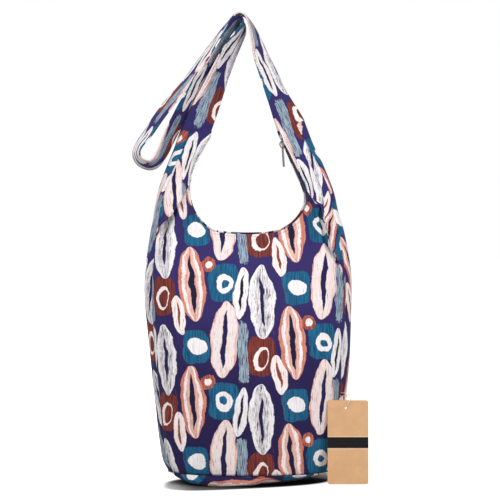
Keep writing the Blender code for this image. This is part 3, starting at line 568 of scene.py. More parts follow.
# %% [markdown]
# ## The printed cloth
#
# The bag is cut from cotton canvas with a painterly print on an indigo ground. The design here is a plain
# studio one: split leaves, pebbles and dry brush dabs on a half-drop lattice, where each second column of
# repeats hangs half a repeat lower. A motif is a distance-like number, below one inside the shape, so one
# comparison gives its mask and lower limits give the bands inside it. Noise that is stretched along the
# cloth adds the bristle lines. Everything reads the UV map in metres of cloth, so no seam stretches it.

# %% Print colours and lattice
INK = {
    "ground": linear(52, 43, 98), "deep": linear(36, 29, 72), "white": linear(247, 243, 243),
    "milk": linear(232, 226, 228), "blush": linear(243, 218, 212), "rose": linear(230, 190, 180),
    "coral": linear(218, 144, 124), "terracotta": linear(192, 110, 94), "teal": linear(34, 104, 140),
    "petrol": linear(24, 72, 106), "mist": linear(158, 178, 190), "rust": linear(132, 62, 50),
    "maroon": linear(88, 36, 42), "ink": linear(30, 24, 52),
}
REPEAT_WIDE, REPEAT_HIGH = 126.0, 150.0
# How far the design wanders from the lattice, in mm
WANDER = 9.0


class Print:
    """The half-drop design as nodes. Lengths are in millimetres of cloth."""

    def __init__(self, recipe, cloth, painted_light_by_height):
        r = self.r = recipe
        scaled = r.scale(cloth, 1 / MM)
        wander = r.node("TexNoise", {"Vector": scaled, "Scale": 0.045, "Detail": 1.0}).outputs["Color"]
        shift = r.scale(r.vector("SUBTRACT", wander, (0.5, 0.5, 0.5)), WANDER)
        self.x, self.y = r.split(r.vector("ADD", scaled, shift))[:2]
        self.bristle = r.noise(scaled, 1.0, 2.0, 0.6, (0.75, 0.035, 1.0))
        self.fine = r.noise(scaled, 1.0, 3.0, 0.65, (1.5, 0.06, 1.0))
        self.edge = r.sub(r.noise(scaled, 0.28, 3.0, 0.65), 0.5)
        cloud = r.mul(r.sub(r.noise(scaled, 0.02, 2.0), 0.5), 0.8)
        # Painted shade: by height the ground goes from the deep ink low down to the ground ink higher up, with
        # random clouds over it.
        self.colour = r.mix(r.fade(r.add(painted_light_by_height, cloud), 0.0, 1.0), INK["deep"], INK["ground"])

    def local(self, x, y, turn):
        """Coordinates from the nearest copy of a point of the lattice, turned by an angle in degrees."""
        r = self.r
        dx, dy = r.sub(self.x, x), r.sub(self.y, y)
        column = r.calc("ROUND", r.div(dx, REPEAT_WIDE))
        dx = r.sub(dx, r.mul(column, REPEAT_WIDE))
        dy = r.calc("WRAP", r.sub(dy, r.mul(column, REPEAT_HIGH / 2)), REPEAT_HIGH / 2, -REPEAT_HIGH / 2)
        c, s = math.cos(math.radians(turn)), math.sin(math.radians(turn))
        return r.add(r.mul(dx, c), r.mul(dy, s)), r.sub(r.mul(dy, c), r.mul(dx, s))

    def leaf(self, x, y, half, tall, turn):
        """|x| over the half width at that height, which is half (1 - (y/tall)^2)^0.62. Also x and y/tall."""
        r = self.r
        across, up = self.local(x, y, turn)
        share = r.div(up, tall)
        room = r.power(r.calc("MAXIMUM", r.sub(1.0, r.mul(share, share)), 0.0005), 0.62)
        past_tip = r.mul(r.calc("MAXIMUM", r.sub(r.size(share), 0.97), 0.0), 40.0)
        return r.add(r.div(r.size(across), r.mul(room, half)), past_tip), across, share

    def pebble(self, x, y, half, tall, turn, power=2.0):
        """Superellipse: ((x/half)^p + (y/tall)^p)^(1/p)."""
        r = self.r
        across, up = self.local(x, y, turn)
        a, b = r.power(r.size(r.div(across, half)), power), r.power(r.size(r.div(up, tall)), power)
        return r.power(r.add(a, b), 1 / power)

    def paint(self, field, limit, first, second, rough=0.2, dry=None):
        """Lays two inks, mixed by the bristle lines, where the field is under the limit. Dry paint skips."""
        r = self.r
        worn = r.add(field, r.mul(self.edge, rough))
        mask = r.fade(worn, limit + 0.03, limit - 0.03)
        if dry is not None:
            mask = r.mul(mask, r.fade(self.fine, dry - 0.06, dry + 0.06))
        tint = r.mix(r.fade(self.bristle, 0.38, 0.62), INK[first], INK[second])
        self.colour = r.mix(mask, self.colour, tint)

    def slit(self, across, share, half, reach, ink):
        """A narrow slit along a motif's middle that closes towards both ends."""
        r = self.r
        taper = r.sub(1.0, r.power(r.size(r.div(share, reach)), 3.0))
        width = r.mul(r.calc("MAXIMUM", taper, 0.0), half)
        worn = r.add(r.size(across), r.mul(self.edge, 2.2))
        mask = r.fade(r.sub(worn, width), 0.45, -0.45)
        self.colour = r.mix(mask, self.colour, INK[ink])


# %% [markdown]
# The motifs are laid from the bottom up, as a painter would: dabs first, then leaves over them, then the
# small bright pebbles. Their places were chosen so that some ground shows all round each of them. A motif's
# row gives its form (place, half width, half height, turn, roundness), its coats of paint (limit, two inks,
# unevenness of the edge, dryness) and, for a leaf, its slit (half width, reach, ink).

# %% The design
DABS = [
    ((19, 122, 19, 23, 2, 4.0), [(1.0, "teal", "petrol")]),
    ((66, 30, 17, 25, -3, 3.2), [(1.0, "rust", "maroon")]),
    ((110, 116, 17, 21, 3, 4.0), [(1.0, "petrol", "teal")]),
    ((43, 34, 7, 38, 2, 5.0), [(1.0, "mist", "mist", 0.5, 0.47)]),
]
LEAVES = [
    ((20, 50, 17, 50, -4), (3.4, 0.76, "deep"),
     [(1.0, "coral", "blush", 0.20, 0.36), (0.86, "blush", "milk", 0.26, 0.40)]),
    ((67, 98, 16, 47, 3), (2.6, 0.66, "deep"),
     [(1.0, "white", "milk", 0.20, 0.38), (0.60, "ink", "ground", 0.5, 0.54)]),
    ((105, 46, 17, 48, 5), (3.4, 0.76, "ink"),
     [(1.0, "coral", "terracotta", 0.20, 0.36), (0.72, "white", "blush", 0.26, 0.38),
      (0.46, "coral", "rose", 0.26, 0.42)]),
    ((41, 108, 9, 33, -6), (2.0, 0.72, "ink"), [(1.0, "white", "milk", 0.24, 0.36)]),
    ((88, 6, 9, 27, 8), (1.8, 0.66, "rust"), [(1.0, "blush", "white", 0.24, 0.36)]),
]
PEBBLES = [
    ((20, 121, 11, 12, 15), [(1.0, "white", "milk", 0.3), (0.45, "petrol", "teal", 0.4)]),
    ((66, 27, 9.5, 15, -12), [(1.0, "white", "blush", 0.35)]),
    ((68, 27, 6.5, 11, -12), [(1.0, "rust", "maroon", 0.3)]),
    ((111, 117, 12.5, 10, -10), [(1.0, "white", "milk", 0.3, 0.34)]),
    ((0, 146, 9, 9.5, 0), [(1.0, "rust", "terracotta", 0.4), (0.5, "blush", "white", 0.4)]),
]


def paint_design(p):
    """Dabs, leaves and pebbles of one repeat."""
    for motifs in (DABS, LEAVES, PEBBLES):
        for form, *slit, coats in motifs:
            field, *middle = p.leaf(*form) if slit else (p.pebble(*form),)
            for coat in coats:
                p.paint(field, *coat)
            if slit:
                p.slit(*middle, *slit[0])


def print_group():
    """The design as a node group: the cloth's coordinates and a share of painted light by height in, a colour
    out.
    """
    tree = bpy.data.node_groups.new("leaf and pebble print", "ShaderNodeTree")
    tree.interface.new_socket("Cloth", in_out="INPUT", socket_type="NodeSocketVector")
    tree.interface.new_socket("Painted light by height", in_out="INPUT", socket_type="NodeSocketFloat")
    tree.interface.new_socket("Colour", in_out="OUTPUT", socket_type="NodeSocketColor")
    source, result = tree.nodes.new("NodeGroupInput"), tree.nodes.new("NodeGroupOutput")
    design = Print(Recipe(tree), source.outputs[0], source.outputs[1])
    paint_design(design)
    tree.links.new(design.colour, result.inputs[0])
    print("Nodes in the print:", len(tree.nodes))
    return tree


PRINT = print_group()


# %% [markdown]
# ## Finishes
#
# Canvas is a plain weave, so its bump is two crossed waves at the thread pitch with a little unevenness.
# The slider and pull are cast metal with small scratches, the tag is kraft board with flecks and fibres.

# %% Cloth finishes
class Finish(Recipe):
    """A new material: its recipe, and the calls that feed its Principled shader."""

    def __init__(self, name, roughness, metallic=0.0, sheen=0.0):
        self.material = bpy.data.materials.new(name)
        self.material.use_nodes = True
        super().__init__(self.material.node_tree)
        self.set("Roughness", roughness)
        self.set("Metallic", metallic)
        self.set("Sheen Weight", sheen)
        if metallic == 0:
            self.set("Specular IOR Level", 0.15)

    def set(self, socket, value):
        """Feeds one input of the shader."""
        self.feed(self.tree.nodes["Principled BSDF"].inputs[socket], value)

    def bump(self, strength, distance, height):
        """Tilts the shading by a field of heights."""
        made = self.node("Bump", {"Strength": strength, "Distance": distance, "Height": height})
        self.set("Normal", made.outputs[0])


def weave(recipe, cloth, pitch):
    """Two crossed sine waves, one for each set of threads: sin(pi u / pitch) sin(pi v / pitch)."""
    u, v = recipe.split(recipe.scale(cloth, math.pi / pitch))[:2]
    return recipe.mul(recipe.calc("SINE", u), recipe.calc("SINE", v))


CANVAS_PITCH = 0.55 * MM


def printed_canvas(name, shift, turn=0.0, painted_shade_height=None):
    """Printed canvas whose design starts at a shifted place on the cloth. Given a height, it gets painted
    shade below it.
    """
    r = Finish(name, 0.85, sheen=0.02)
    cloth, height = r.cloth(), r.split(r.here())[2]
    laid = {"Vector": cloth, "Location": (*shift, 0), "Rotation": (0, 0, math.radians(turn))}
    place = r.node("Mapping", laid).outputs[0]
    # Painted shade: the print's ground is darkest below 0.04 m and full from 0.32 m up.
    design = r.node("Group", {0: place, 1: r.fade(height, 0.04, 0.32)}, node_tree=PRINT).outputs[0]
    threads = weave(r, cloth, CANVAS_PITCH)
    uneven = r.noise(cloth, 900.0, 3.0, 0.6)
    worn = r.fade(r.noise(cloth, 60.0, 4.0, 0.6), 0.35, 0.7)
    tone = r.add(0.93, r.add(r.mul(threads, 0.035), r.mul(worn, 0.06)))
    # Painted shade: below the given height the colour falls towards 0.35 of itself at the floor.
    if painted_shade_height is not None:
        tone = r.mul(tone, r.fade(height, 0.0, painted_shade_height, 0.35, 0.95))
    r.set("Base Color", r.scale(design, tone))
    r.bump(0.35, 0.25 * MM, r.add(r.mul(threads, 0.5), r.mul(uneven, 0.8)))
    return r.material


def plain_cloth(name, colour, pitch, lighter):
    """Woven cloth of one colour with a lighter thread in it."""
    r = Finish(name, 0.8, sheen=0.1)
    threads, uneven = weave(r, r.cloth(), pitch), r.noise(r.cloth(), 400.0, 3.0, 0.6)
    r.set("Base Color", r.mix(r.fade(r.add(r.mul(threads, 0.5), uneven), 0.1, 0.9), colour, lighter))
    r.bump(0.5, 0.2 * MM, r.add(threads, uneven))
    return r.material


def twisted_thread(name, waves, dark, light):
    """Twisted thread: leaning bands across it, as its plies lie, with so many radians of wave a metre."""
    r = Finish(name, 0.8, sheen=0.2)
    x, y, z = r.split(r.here())
    ply = r.calc("SINE", r.mul(r.add(z, r.add(x, y)), waves))
    r.set("Base Color", r.mix(r.fade(ply, -1.0, 0.6), dark, light))
    r.bump(0.6, 0.2 * MM, ply)
    return r.material


FRONT_CANVAS = printed_canvas("front canvas", (0.052, 0.010))
BACK_CANVAS = printed_canvas("back canvas", (0.010, 0.070))
# The base's canvas gets painted shade over its lowest 9 mm.
BASE_CANVAS = printed_canvas("base canvas", (0.060, 0.052), 90, painted_shade_height=9 * MM)
STRAP_CANVAS = printed_canvas("arm and strap canvas", (0.048, 0.033))
LINING = plain_cloth("lining twill", linear(36, 34, 58), 0.4 * MM, linear(58, 54, 84))
TAPE_CLOTH = plain_cloth("zip tape", linear(22, 22, 42), 0.5 * MM, linear(40, 40, 66))
STRING_COTTON = twisted_thread("tag thread", 5200.0, linear(176, 160, 136), linear(240, 230, 212))
THREAD = twisted_thread("sewing thread", 9000.0, linear(44, 36, 92), linear(84, 74, 128))


# %% Metal, nylon and card finishes
# The tag's black band: the height of its middle above the floor, and half its own height
BAND_HEIGHT, BAND_HALF = 55.0 * MM, 6.8 * MM


def cast_metal(name):
    """Dull nickel plate: small blotches in the roughness and fine scratches in the bump."""
    r = Finish(name, 0.3, 1.0)
    blot = r.noise(r.here(), 500.0, 4.0, 0.6)
    r.set("Base Color", r.mix(blot, linear(96, 92, 90), linear(134, 130, 126)))
    r.set("Roughness", r.fade(blot, 0.2, 0.8, 0.22, 0.48))
    r.bump(0.15, 0.05 * MM, r.noise(r.here(), 900.0, 2.0, 0.5, (1.0, 1.0, 6.0)))
    return r.material


def nylon(name):
    """Dark nylon of the coil: nearly even, with slight cloudy gloss."""
    r = Finish(name, 0.4)
    cloud = r.noise(r.here(), 700.0, 2.0)
    r.set("Base Color", r.mix(cloud, linear(58, 56, 64), linear(104, 100, 108)))
    r.set("Roughness", r.fade(cloud, 0.3, 0.7, 0.34, 0.5))
    return r.material


def kraft(name):
    """Unbleached board: warm brown with short fibres, and a black band between two pale hairlines. The band
    is where the height is less than half the band's away from its middle."""
    r = Finish(name, 0.88)
    place = r.here()
    fibre = r.noise(place, 1.0, 3.0, 0.6, (2600.0, 2600.0, 700.0))
    fleck = r.noise(place, 1500.0, 2.0, 0.5)
    cloud = r.noise(place, 55.0, 3.0, 0.55)
    board = r.mix(r.fade(fibre, 0.35, 0.65), linear(206, 161, 119), linear(218, 174, 133))
    board = r.mix(r.mul(r.fade(cloud, 0.35, 0.65), 0.35), board, linear(198, 152, 110))
    board = r.mix(r.mul(r.fade(fleck, 0.66, 0.72), 0.5), board, linear(150, 104, 66))
    off = r.size(r.sub(r.split(place)[2], BAND_HEIGHT))
    edge = r.mul(r.sub(fleck, 0.5), 0.2 * MM)
    black = r.fade(r.add(off, edge), BAND_HALF + 0.1 * MM, BAND_HALF - 0.1 * MM)
    hairline = r.fade(r.size(r.sub(off, BAND_HALF + 0.9 * MM)), 0.55 * MM, 0.3 * MM)
    board = r.mix(r.mul(hairline, 0.7), board, linear(236, 206, 172))
    r.set("Base Color", r.mix(black, board, linear(4, 4, 5)))
    r.set("Roughness", r.fade(black, 0.0, 1.0, 0.88, 0.5))
    r.bump(0.3, 0.1 * MM, r.add(fibre, fleck))
    return r.material


METAL, NYLON, KRAFT = cast_metal("dull nickel"), nylon("coil nylon"), kraft("kraft board")
print("Finishes:", len(bpy.data.materials))


# %% [markdown]
# ## The strap's route
#
# The strap leaves the right arm, goes over the peak, hangs down on the left in a long loop, comes back up to
# the peak and joins the left arm. The band turns edge on as it climbs, so its twist is kept beside each point
# of the route. Its length is needed first, because the print runs on from the strap down both arms.

# %% Strap route
STRAP_ROUTE = [
    (37.0, 0, 487.8, 40), (26.4, 0, 513.4, 46), (16.2, 0, 539, 54), (9.4, 0, 559.5, 64), (4.4, 0, 574.8, 73),
    (0.0, 0, 586.6, 82), (-5.4, 0, 594.6, 87), (-12.8, 0, 597.9, 89), (-21.4, 0, 594.0, 86),
    (-30.6, -1, 582.4, 80), (-40.2, -3, 568.4, 74), (-56.0, -6, 545.0, 70), (-81.3, -9, 508.3, 67),
    (-107.6, -11, 476.3, 64), (-126.4, -12, 449.4, 66), (-141.0, -12, 429.4, 69), (-144.4, -12, 418.0, 71),
    (-139.6, -12, 408.2, 72), (-128.6, -12, 403.8, 72), (-119.4, -13, 408.0, 72), (-110.6, -13, 421.6, 70),
    (-99.0, -13, 446.0, 67), (-86.6, -12, 469.2, 65), (-74.2, -10, 491.4, 64), (-63.0, -9, 511.8, 64),
    (-44.8, -6, 541.4, 64), (-35.2, -4, 557.0, 64), (-26.0, -2, 571.6, 65), (-19.4, 0, 583.2, 71),
    (-13.6, 0, 591.0, 80), (-8.0, 0, 587.2, 92), (-8.6, 0, 579.0, 102), (-12.8, 0, 571.0, 110),
    (-20.4, 0, 558.5, 117), (-30.8, 0, 538.0, 125), (-42.0, 0, 512.0, 135), (-52.4, 0, 486.0, 146),
]
# Stations of the strap, its stitch lines' way in from the edge and depth, and its run into the arms
STATION_STEP = 2.6 * MM
GROOVE, GROOVE_DEPTH = 2.9 * MM, 0.38 * MM
BLEND = 60 * MM


def strap_lines():
    """Lengths of the stations along the strap, and there: middle, way, width and outer face directions."""
    route = [(*(ARM_TOP["right"] / MM), ARM_TWIST["right"]), *STRAP_ROUTE]
    route.append((*(ARM_TOP["left"] / MM), 180 + ARM_TWIST["left"]))
    curve = smooth_curve(np.array(route) * [MM, MM, MM, 1], 16)
    total = run_lengths(curve[:, :3])[-1]
    stations = np.linspace(0, total, int(total / STATION_STEP))
    rows = sample(curve, stations)
    way = unit(np.gradient(rows[:, :3], axis=0))
    return stations, rows[:, :3], way, *strap_axes(way, rows[:, 3])


STATIONS, STRAP_MIDDLE, STRAP_COURSE, STRAP_WIDE, STRAP_FACE = strap_lines()
STRAP_TOTAL = STATIONS[-1]
print("Strap from arm to arm in mm:", round(STRAP_TOTAL / MM, 1))


# %% [markdown]
# ## Where the arms lap over the front panel
#
# In front the shoulder arm is a strip of its own that laps over the panel's top corner. Its free edge runs
# from the mouth edge down and outwards to the side seam. The lap line is kept as points seen from the front,
# and a point belongs to the arm if it lies on the outer side of that line.

# %% Lap lines
LAP = {
    "left": [(-40, 393), (-75.3, 385.1), (-82.0, 373.1), (-90.4, 352.9), (-98.6, 339.4), (-107.4, 330.9),
             (-113.2, 323.8), (-118.0, 314.0), (-121.2, 305), (-123.6, 296), (-125.4, 287), (-400, 283)],
    "right": [(30, 382), (71.9, 373.2), (78.7, 364.8), (88.6, 351.2), (93.4, 329.1), (95.8, 314.0),
              (101.0, 301.0), (107.5, 288.0), (113.0, 275.0), (117.2, 262.0), (120.4, 250.0),
              (122.4, 240.0), (400, 236)],
}
# The arm's sheet, how proud it stands at the lap, and how far the panel runs on under it
SHEET = 1.0 * MM
LAP_PROUD = 1.5 * MM
HIDDEN = 13 * MM


def lap_side(points, arm):
    """Sideways distance of points past the lap line, positive on the arm's side: +-(x - line(z))."""
    line = np.array(LAP[arm])[::-1] * MM
    across = np.interp(points[..., 2], line[:, 1], line[:, 0])
    return (across - points[..., 0]) if arm == "left" else (points[..., 0] - across)


def rows_at(grid, where):
    """Rows of a grid at row numbers with fractions, each column with its own: (1 - f) row k + f row k+1."""
    low = np.clip(np.floor(where).astype(int), 0, len(grid) - 2)
    share = (where - low)[..., None]
    columns = np.arange(grid.shape[1])[None]
    return grid[low, columns] * (1 - share) + grid[low + 1, columns] * share


def shoulder_grid(arm):
    """Rows of the front from below a shoulder up to the strap, seam column first and mouth edge last."""
    count = ARM_COLUMNS["front"]
    low = body_surface("front", np.linspace(0.64, 1, 90)[:-1])
    low = low[:, :count] if arm == "left" else low[:, ::-1][:, :count]
    return np.concatenate([low, arm_rows(arm, spaced([1, 0.12, 0], [110, 14]), "front")], axis=0)


def above_line(grid, arm, rows):
    """The part of a grid above the lap line, resampled to even rows: for each column the last row on the
    panel's side is found, and rows are spread from there to the top."""
    past, top = lap_side(grid, arm), len(grid) - 1
    start = np.clip(top - np.argmax((past <= 0)[::-1], axis=0), 0, top - 1)
    a, b = (np.take_along_axis(past, start[None] + k, axis=0)[0] for k in (0, 1))
    start = start + np.clip(-a / np.where(b - a == 0, 1, b - a), 0, 1)
    return rows_at(grid, start + (top - start) * np.linspace(0, 1, rows)[:, None])


# %% [markdown]
# ## Folds in the panels
#
# A filled canvas bag is nearly smooth, but not quite: it has slow swells where the contents press, soft
# folds that run down from the shoulders, and a few short ones that gather at the base corners. The front
# panel also tucks in under each arm's lap, which is what draws the dark line there in the photograph.

# %% Fold field
DRAPES = [
    (-92, 0.16, 11, 2.2), (-66, 0.05, 14, -1.8), (70, -0.10, 13, -2.0), (88, -0.20, 10, 2.0),
    (8, 0.03, 20, 1.2),
]
DRAPE_TOP = 330
# Heights in mm of the lap line's foot and of the tuck's deepest place
TUCK = {"left": (294, 327), "right": (274, 318)}


def ridge(distance, width):
    """A soft ridge of height one: exp(-(distance / width)^2)."""
    return np.exp(-(distance / width) ** 2)


def fold_height(points, side):
    """How far the cloth stands out of the plain form: swells, folds that hang from the shoulders, gathers at
    the base, and a pinch at its left corner. A row of DRAPES is a fold's place, lean, width and depth."""
    x, z = points[..., 0] / MM, points[..., 2] / MM
    slow = 1.5 * ripple(x / 42, z / 70, 3 + side)
    small = 0.45 * ripple(x / 13, z / 26, 11 + side)
    high = smooth_step((z - 150) / 180)
    fallen = DRAPE_TOP - z
    drape = sum(depth * ridge(x - (start + lean * fallen), width + fallen * 0.06)
                for start, lean, width, depth in DRAPES)
    low = 1 - smooth_step((z - 14) / 70)
    gather = 1.1 * ripple(x / 9, z / 40, 21 + side, 5) * low
    pinch = -3.0 * ridge(x + 84 - 0.35 * z, 7) * low * smooth_step(z / 20)
    return (slow + small + drape * high + gather + pinch) * MM


def edge_weight(columns, rows):
    """Falls to nothing at the two side columns and at the base row, so that the seams stay closed."""
    u, v = np.linspace(0, 1, columns), np.linspace(0, 1, rows)
    return smooth_step(np.minimum(u, 1 - u) * 14) * smooth_step(v * 12)[:, None]


def seam_tuck(columns_from_seam):
    """Draws a seam's edge in by a narrow bell, 0.9 mm deep and measured in columns."""
    return -0.9 * MM * ridge(columns_from_seam, 2.2)


def off_mouth(points):
    """Rises from nothing at the mouth line to one 26 mm away from it, seen from the front."""
    far = np.full(points.shape[:-1], 1.0)
    for spot in MOUTH[::6]:
        far = np.minimum(far, np.hypot(points[..., 0] - spot[0], points[..., 2] - spot[2]))
    return smooth_step(far / (26 * MM))


def tuck_under(points, arm):
    """How the panel sinks beside and under the lap: deepest at the line and near the line's lower third, and
    gone where the line reaches the side seam. TUCK holds the heights of its foot and its deepest place."""
    past = lap_side(points, arm)
    height, (foot, deep) = points[..., 2] / MM, TUCK[arm]
    open_side = np.exp(np.minimum(past, 0) / (11 * MM))
    hidden = 0.2 + 0.8 * np.exp(-np.maximum(past, 0) / (5 * MM))
    depth = (7.5 + 4.5 * ridge(height - deep, 14)) * smooth_step((height - foot) / 30)
    return -depth * MM * np.where(past > 0, hidden, open_side) * off_mouth(points)


def pressed(points, arm):
    """The panel's extra drop where the arm's sheet lies on it."""
    return -(1.2 + 2.0 * off_mouth(points)) * MM * smooth_step(lap_side(points, arm) / (4 * MM))


def below_strap(height):
    """Falls from one to nothing over the 40 mm below the strap, where the waves of the arms die out."""
    return smooth_step((454 - height / MM) / 40)


# %% [markdown]
# ## Front and back panels
#
# Each panel is one grid for the tube and one for each corner above it. In front the corner grids are short
# and end under the arm's lap, and at the back they run on up to the strap. The print's u is the level
# distance round the bag from the middle of the panel and its v is the height, so that the motifs stay
# upright and the mouth simply cuts them, as scissors do.

# %% Panels
V_SLOPE = 1.03
BODY_ROWS = 150


def level_distance(grid):
    """Distance round the bag at each row, leaving out height, counted from the middle column."""
    run = run_lengths(grid * np.array([1, 1, 0]), axis=1)
    middle = grid.shape[1] // 2
    return run - run[:, middle:middle + 1]


def corner_rows(panel, arm):
    """The plain rows of a panel's corner above the crotch row: in front each column ends HIDDEN past the lap
    line, at the back it runs up to the strap."""
    if panel == "back":
        return arm_rows(arm, np.concatenate([np.linspace(1, 0.1, 88), [0.07, 0.035, 0]]), panel)
    full = arm_rows(arm, np.linspace(1, 0.30, 90), panel)
    past = lap_side(full, arm) > HIDDEN
    last = np.where(past.any(axis=0), past.argmax(axis=0), len(full) - 1)
    last = np.maximum(smoothed(last[:, None].astype(float), 7)[:, 0], 4)
    return rows_at(full, np.linspace(0, 1, 50)[:, None] * last)


def corner_lift(grid, panel, arm, places):
    """Folds of a corner: the tuck under the lap in front, slow waves at the back, and its seam's edge."""
    from_seam = np.arange(grid.shape[1])
    if panel == "front":
        folds = tuck_under(grid, arm) * smooth_step(from_seam / 5) + pressed(grid, arm)
    else:
        x, z = grid[..., 0] / MM, grid[..., 2] / MM
        waves = (1.1 * ripple(x / 15, z / 34, 33) + 0.5 * ripple(x / 6, z / 20, 39)) * MM
        ease = smooth_step(places * 5) * smooth_step((1 - from_seam / len(from_seam)) * 6)
        folds = waves * below_strap(grid[..., 2]) * ease
    return seam_tuck(from_seam) + folds


def soft_join(body, corner, columns, hold):
    """Averages the rows on both sides of a shared border, most at the border, so that no kink shows."""
    reach = 14
    rows = np.concatenate([body[-reach - 1:, columns], corner[1:reach + 1]])
    even = np.stack([smoothed(rows[:, k], 15) for k in range(rows.shape[1])], axis=1)
    weight = smooth_step(1 - np.abs(np.arange(len(rows)) - reach) / reach)[:, None] * hold
    rows = rows + weight[..., None] * (even - rows)
    body[-reach - 1:, columns] = rows[:reach + 1]
    corner[:reach + 1] = rows[reach:]


def corner_piece(panel, arm, body, uv):
    """A corner's folded grid and its print, which run on from the body's top row. The difference to that row
    fades out upwards as exp(-row / 3)."""
    side, count = SIDE[panel], ARM_COLUMNS[panel]
    grid = corner_rows(panel, arm)
    places = np.concatenate([part[0] for part, _ in places_across([1], panel)])
    folded = grid + corner_lift(grid, panel, arm, places)[..., None] * normals_of(grid, side)
    columns = np.arange(count) if arm == "left" else body.shape[1] - 1 - np.arange(count)
    fade = np.exp(-np.arange(len(grid)) / 3.0)[:, None, None]
    folded = folded + fade * (body[-1, columns] - folded[0])
    soft_join(body, folded, columns, smooth_step(places / 0.25))
    across = uv[-1, columns, 0] - side * (grid[..., 0] - grid[0, :, 0])
    made_uv = np.stack([across, grid[..., 2] * V_SLOPE], axis=-1)
    step = 1 if arm == "left" else -1
    return folded[:, ::step], made_uv[:, ::step]


def panel_piece(panel, finish):
    """The body grid with its folds, and a grid for each corner that rises into the arm. Returns the first."""
    side, part = SIDE[panel], np.linspace(0, 1, BODY_ROWS) ** 0.96
    body = body_surface(panel, part)
    columns = body.shape[1]
    uv = np.stack([-side * level_distance(body), body[..., 2] * V_SLOPE], axis=-1)
    to_top = ((1 - part) * BODY_HEIGHT)[:, None]
    lift = fold_height(body, side) * edge_weight(columns, BODY_ROWS) * smooth_step(to_top / (60 * MM))
    from_seam = np.minimum(np.arange(columns), np.arange(columns)[::-1])
    if panel == "front":
        for arm in ARM_TOP:
            lift = lift + tuck_under(body, arm) * smooth_step(from_seam / 5) + pressed(body, arm)
    lift = lift + seam_tuck(from_seam) - (MM * ridge(np.arange(BODY_ROWS), 1.6))[:, None]
    folded = body + lift[..., None] * normals_of(body, side)
    grids, uvs = zip((folded, uv), *(corner_piece(panel, arm, folded, uv) for arm in ARM_TOP))
    made = cloth_piece(panel + "_canvas", grids, finish, CANVAS, uvs, flip=panel == "back")
    dress(made, panel + "_panel")
    return folded


BODY = {panel: panel_piece(panel, cloth) for panel, cloth in (("front", FRONT_CANVAS), ("back", BACK_CANVAS))}
print("Rows and columns of the panels:", {panel: grid.shape[:2] for panel, grid in BODY.items()})


# %% [markdown]
# ## Shoulder arms
#
# Each arm has one front sheet of its own. Behind it the back panel's corner runs up to the strap, and the two
# meet at the side seam, which crosses the arm's front face. The sheet stands proud of the panel by its own
# thickness at the lap and settles onto the arm's form above it. Its free edge is rolled over, as a hem is, so
# that it shows a rounded lip and throws a shadow.

# %% Arm sheets
TIP_HEIGHT = {"left": 290, "right": 268}


def sheet_lift(grid, up, arm):
    """How far the sheet stands off the plain arm: proud and with a lip at the lap, then waved and creased."""
    x, z = grid[..., 0] / MM, grid[..., 2] / MM
    above_tip = smooth_step((z - TIP_HEIGHT[arm]) / 26)
    proud = LAP_PROUD * (1 - smooth_step((up - 14 * MM) / (30 * MM))) * above_tip
    lip = 1.6 * MM * np.exp(-up / (5 * MM)) * smooth_step(up / (0.8 * MM) + 0.35) * above_tip
    places = np.linspace(0, 1, grid.shape[1])
    hold = smooth_step(places * 5) * smooth_step((1 - places) * 6)
    wave = (ripple(x / 16, z / 34, 30) + 0.5 * ripple(x / 6, z / 22, 36)) * MM
    crease = -1.4 * MM * ridge((places - 0.52) * 40, 5)
    folds = (wave + crease) * below_strap(grid[..., 2]) * hold
    return (proud + lip) * smooth_step(places * 12 + 0.25) + folds + seam_tuck(np.arange(len(places)))


def arm_sheet(arm, rows=150):
    """The strip above the lap line. Its print's u is the way across from the arm's middle and its v the way
    along it, both running on from the strap's."""
    grid = above_line(shoulder_grid(arm), arm, rows)
    up = run_lengths(grid, axis=0)
    made = grid + sheet_lift(grid, up, arm)[..., None] * normals_of(grid, -1)
    across = run_lengths(grid[:, ::-1], axis=1)[:, ::-1] - (STRAP_WIDTH / 2 + ARM_SIDE_EASE[arm])
    along = up[-1:] - up
    if arm == "right":
        shown, uv = made[:, ::-1], np.stack([across, along], axis=-1)[:, ::-1]
    else:
        shown, uv = made, np.stack([-across, -STRAP_TOTAL - along], axis=-1)
    dress(cloth_piece("arm_front_" + arm, [shown], STRAP_CANVAS, SHEET, [uv]))
    return made


ARMS = {arm: arm_sheet(arm) for arm in ARM_TOP}
print("Arm sheets made:", len(ARMS))


# %% [markdown]
# ## Base
#
# The base is an oval cut of the same canvas. Its rim turns up to the base seam, and the flat middle rests
# on the floor. The rings shrink from the seam to the middle. The print is laid out along the spokes, as
# the flat cut is before its rim is turned up, and lies a quarter turn round from the panels'.

# %% Base
BASE_FLAT = 0.45
BASE_SPOKES = 180
SEAM_DRAW = 0.9 * MM
BASE_CORNERS = np.array([
    (180, 1.3), (200, 1.7), (216, 3.8), (230, 9.5), (245, 20), (262, 7.7), (280, 2.4), (300, 1.5), (330, 1.3),
    (360, 1.3),
])


def base_points(parts, segments, inset=0.0, drop=0.0):
    """Rings of the bowl: the height is 1 - (1 - part^n)^(1/n), less its value where the flat middle starts.
    The power n is read off by the plan angle, and is the same at the back as in front."""
    left, right = (outline_x(arm, BASE_SEAM_HEIGHT) for arm in ("left", "right"))
    depth = read_off(DEPTHS, 0) * MM - inset
    angle = np.linspace(0, 2 * math.pi, segments, endpoint=False)[None]
    part = np.asarray(parts, float)[:, None]
    n = np.interp(180 + np.degrees(np.abs(angle - math.pi)), *BASE_CORNERS.T)
    x = (left + right) / 2 + part * ((right - left) / 2 - inset) * np.cos(angle)
    y = part * depth * np.sin(angle)
    rise = 1 - np.maximum(0, 1 - part**n) ** (1 / n)
    least = 1 - (1 - BASE_FLAT**n) ** (1 / n)
    z = drop + (BASE_SEAM_HEIGHT - drop) * np.clip((rise - least) / (1 - least), 0, 1)
    return np.stack([x, y, z], axis=-1)


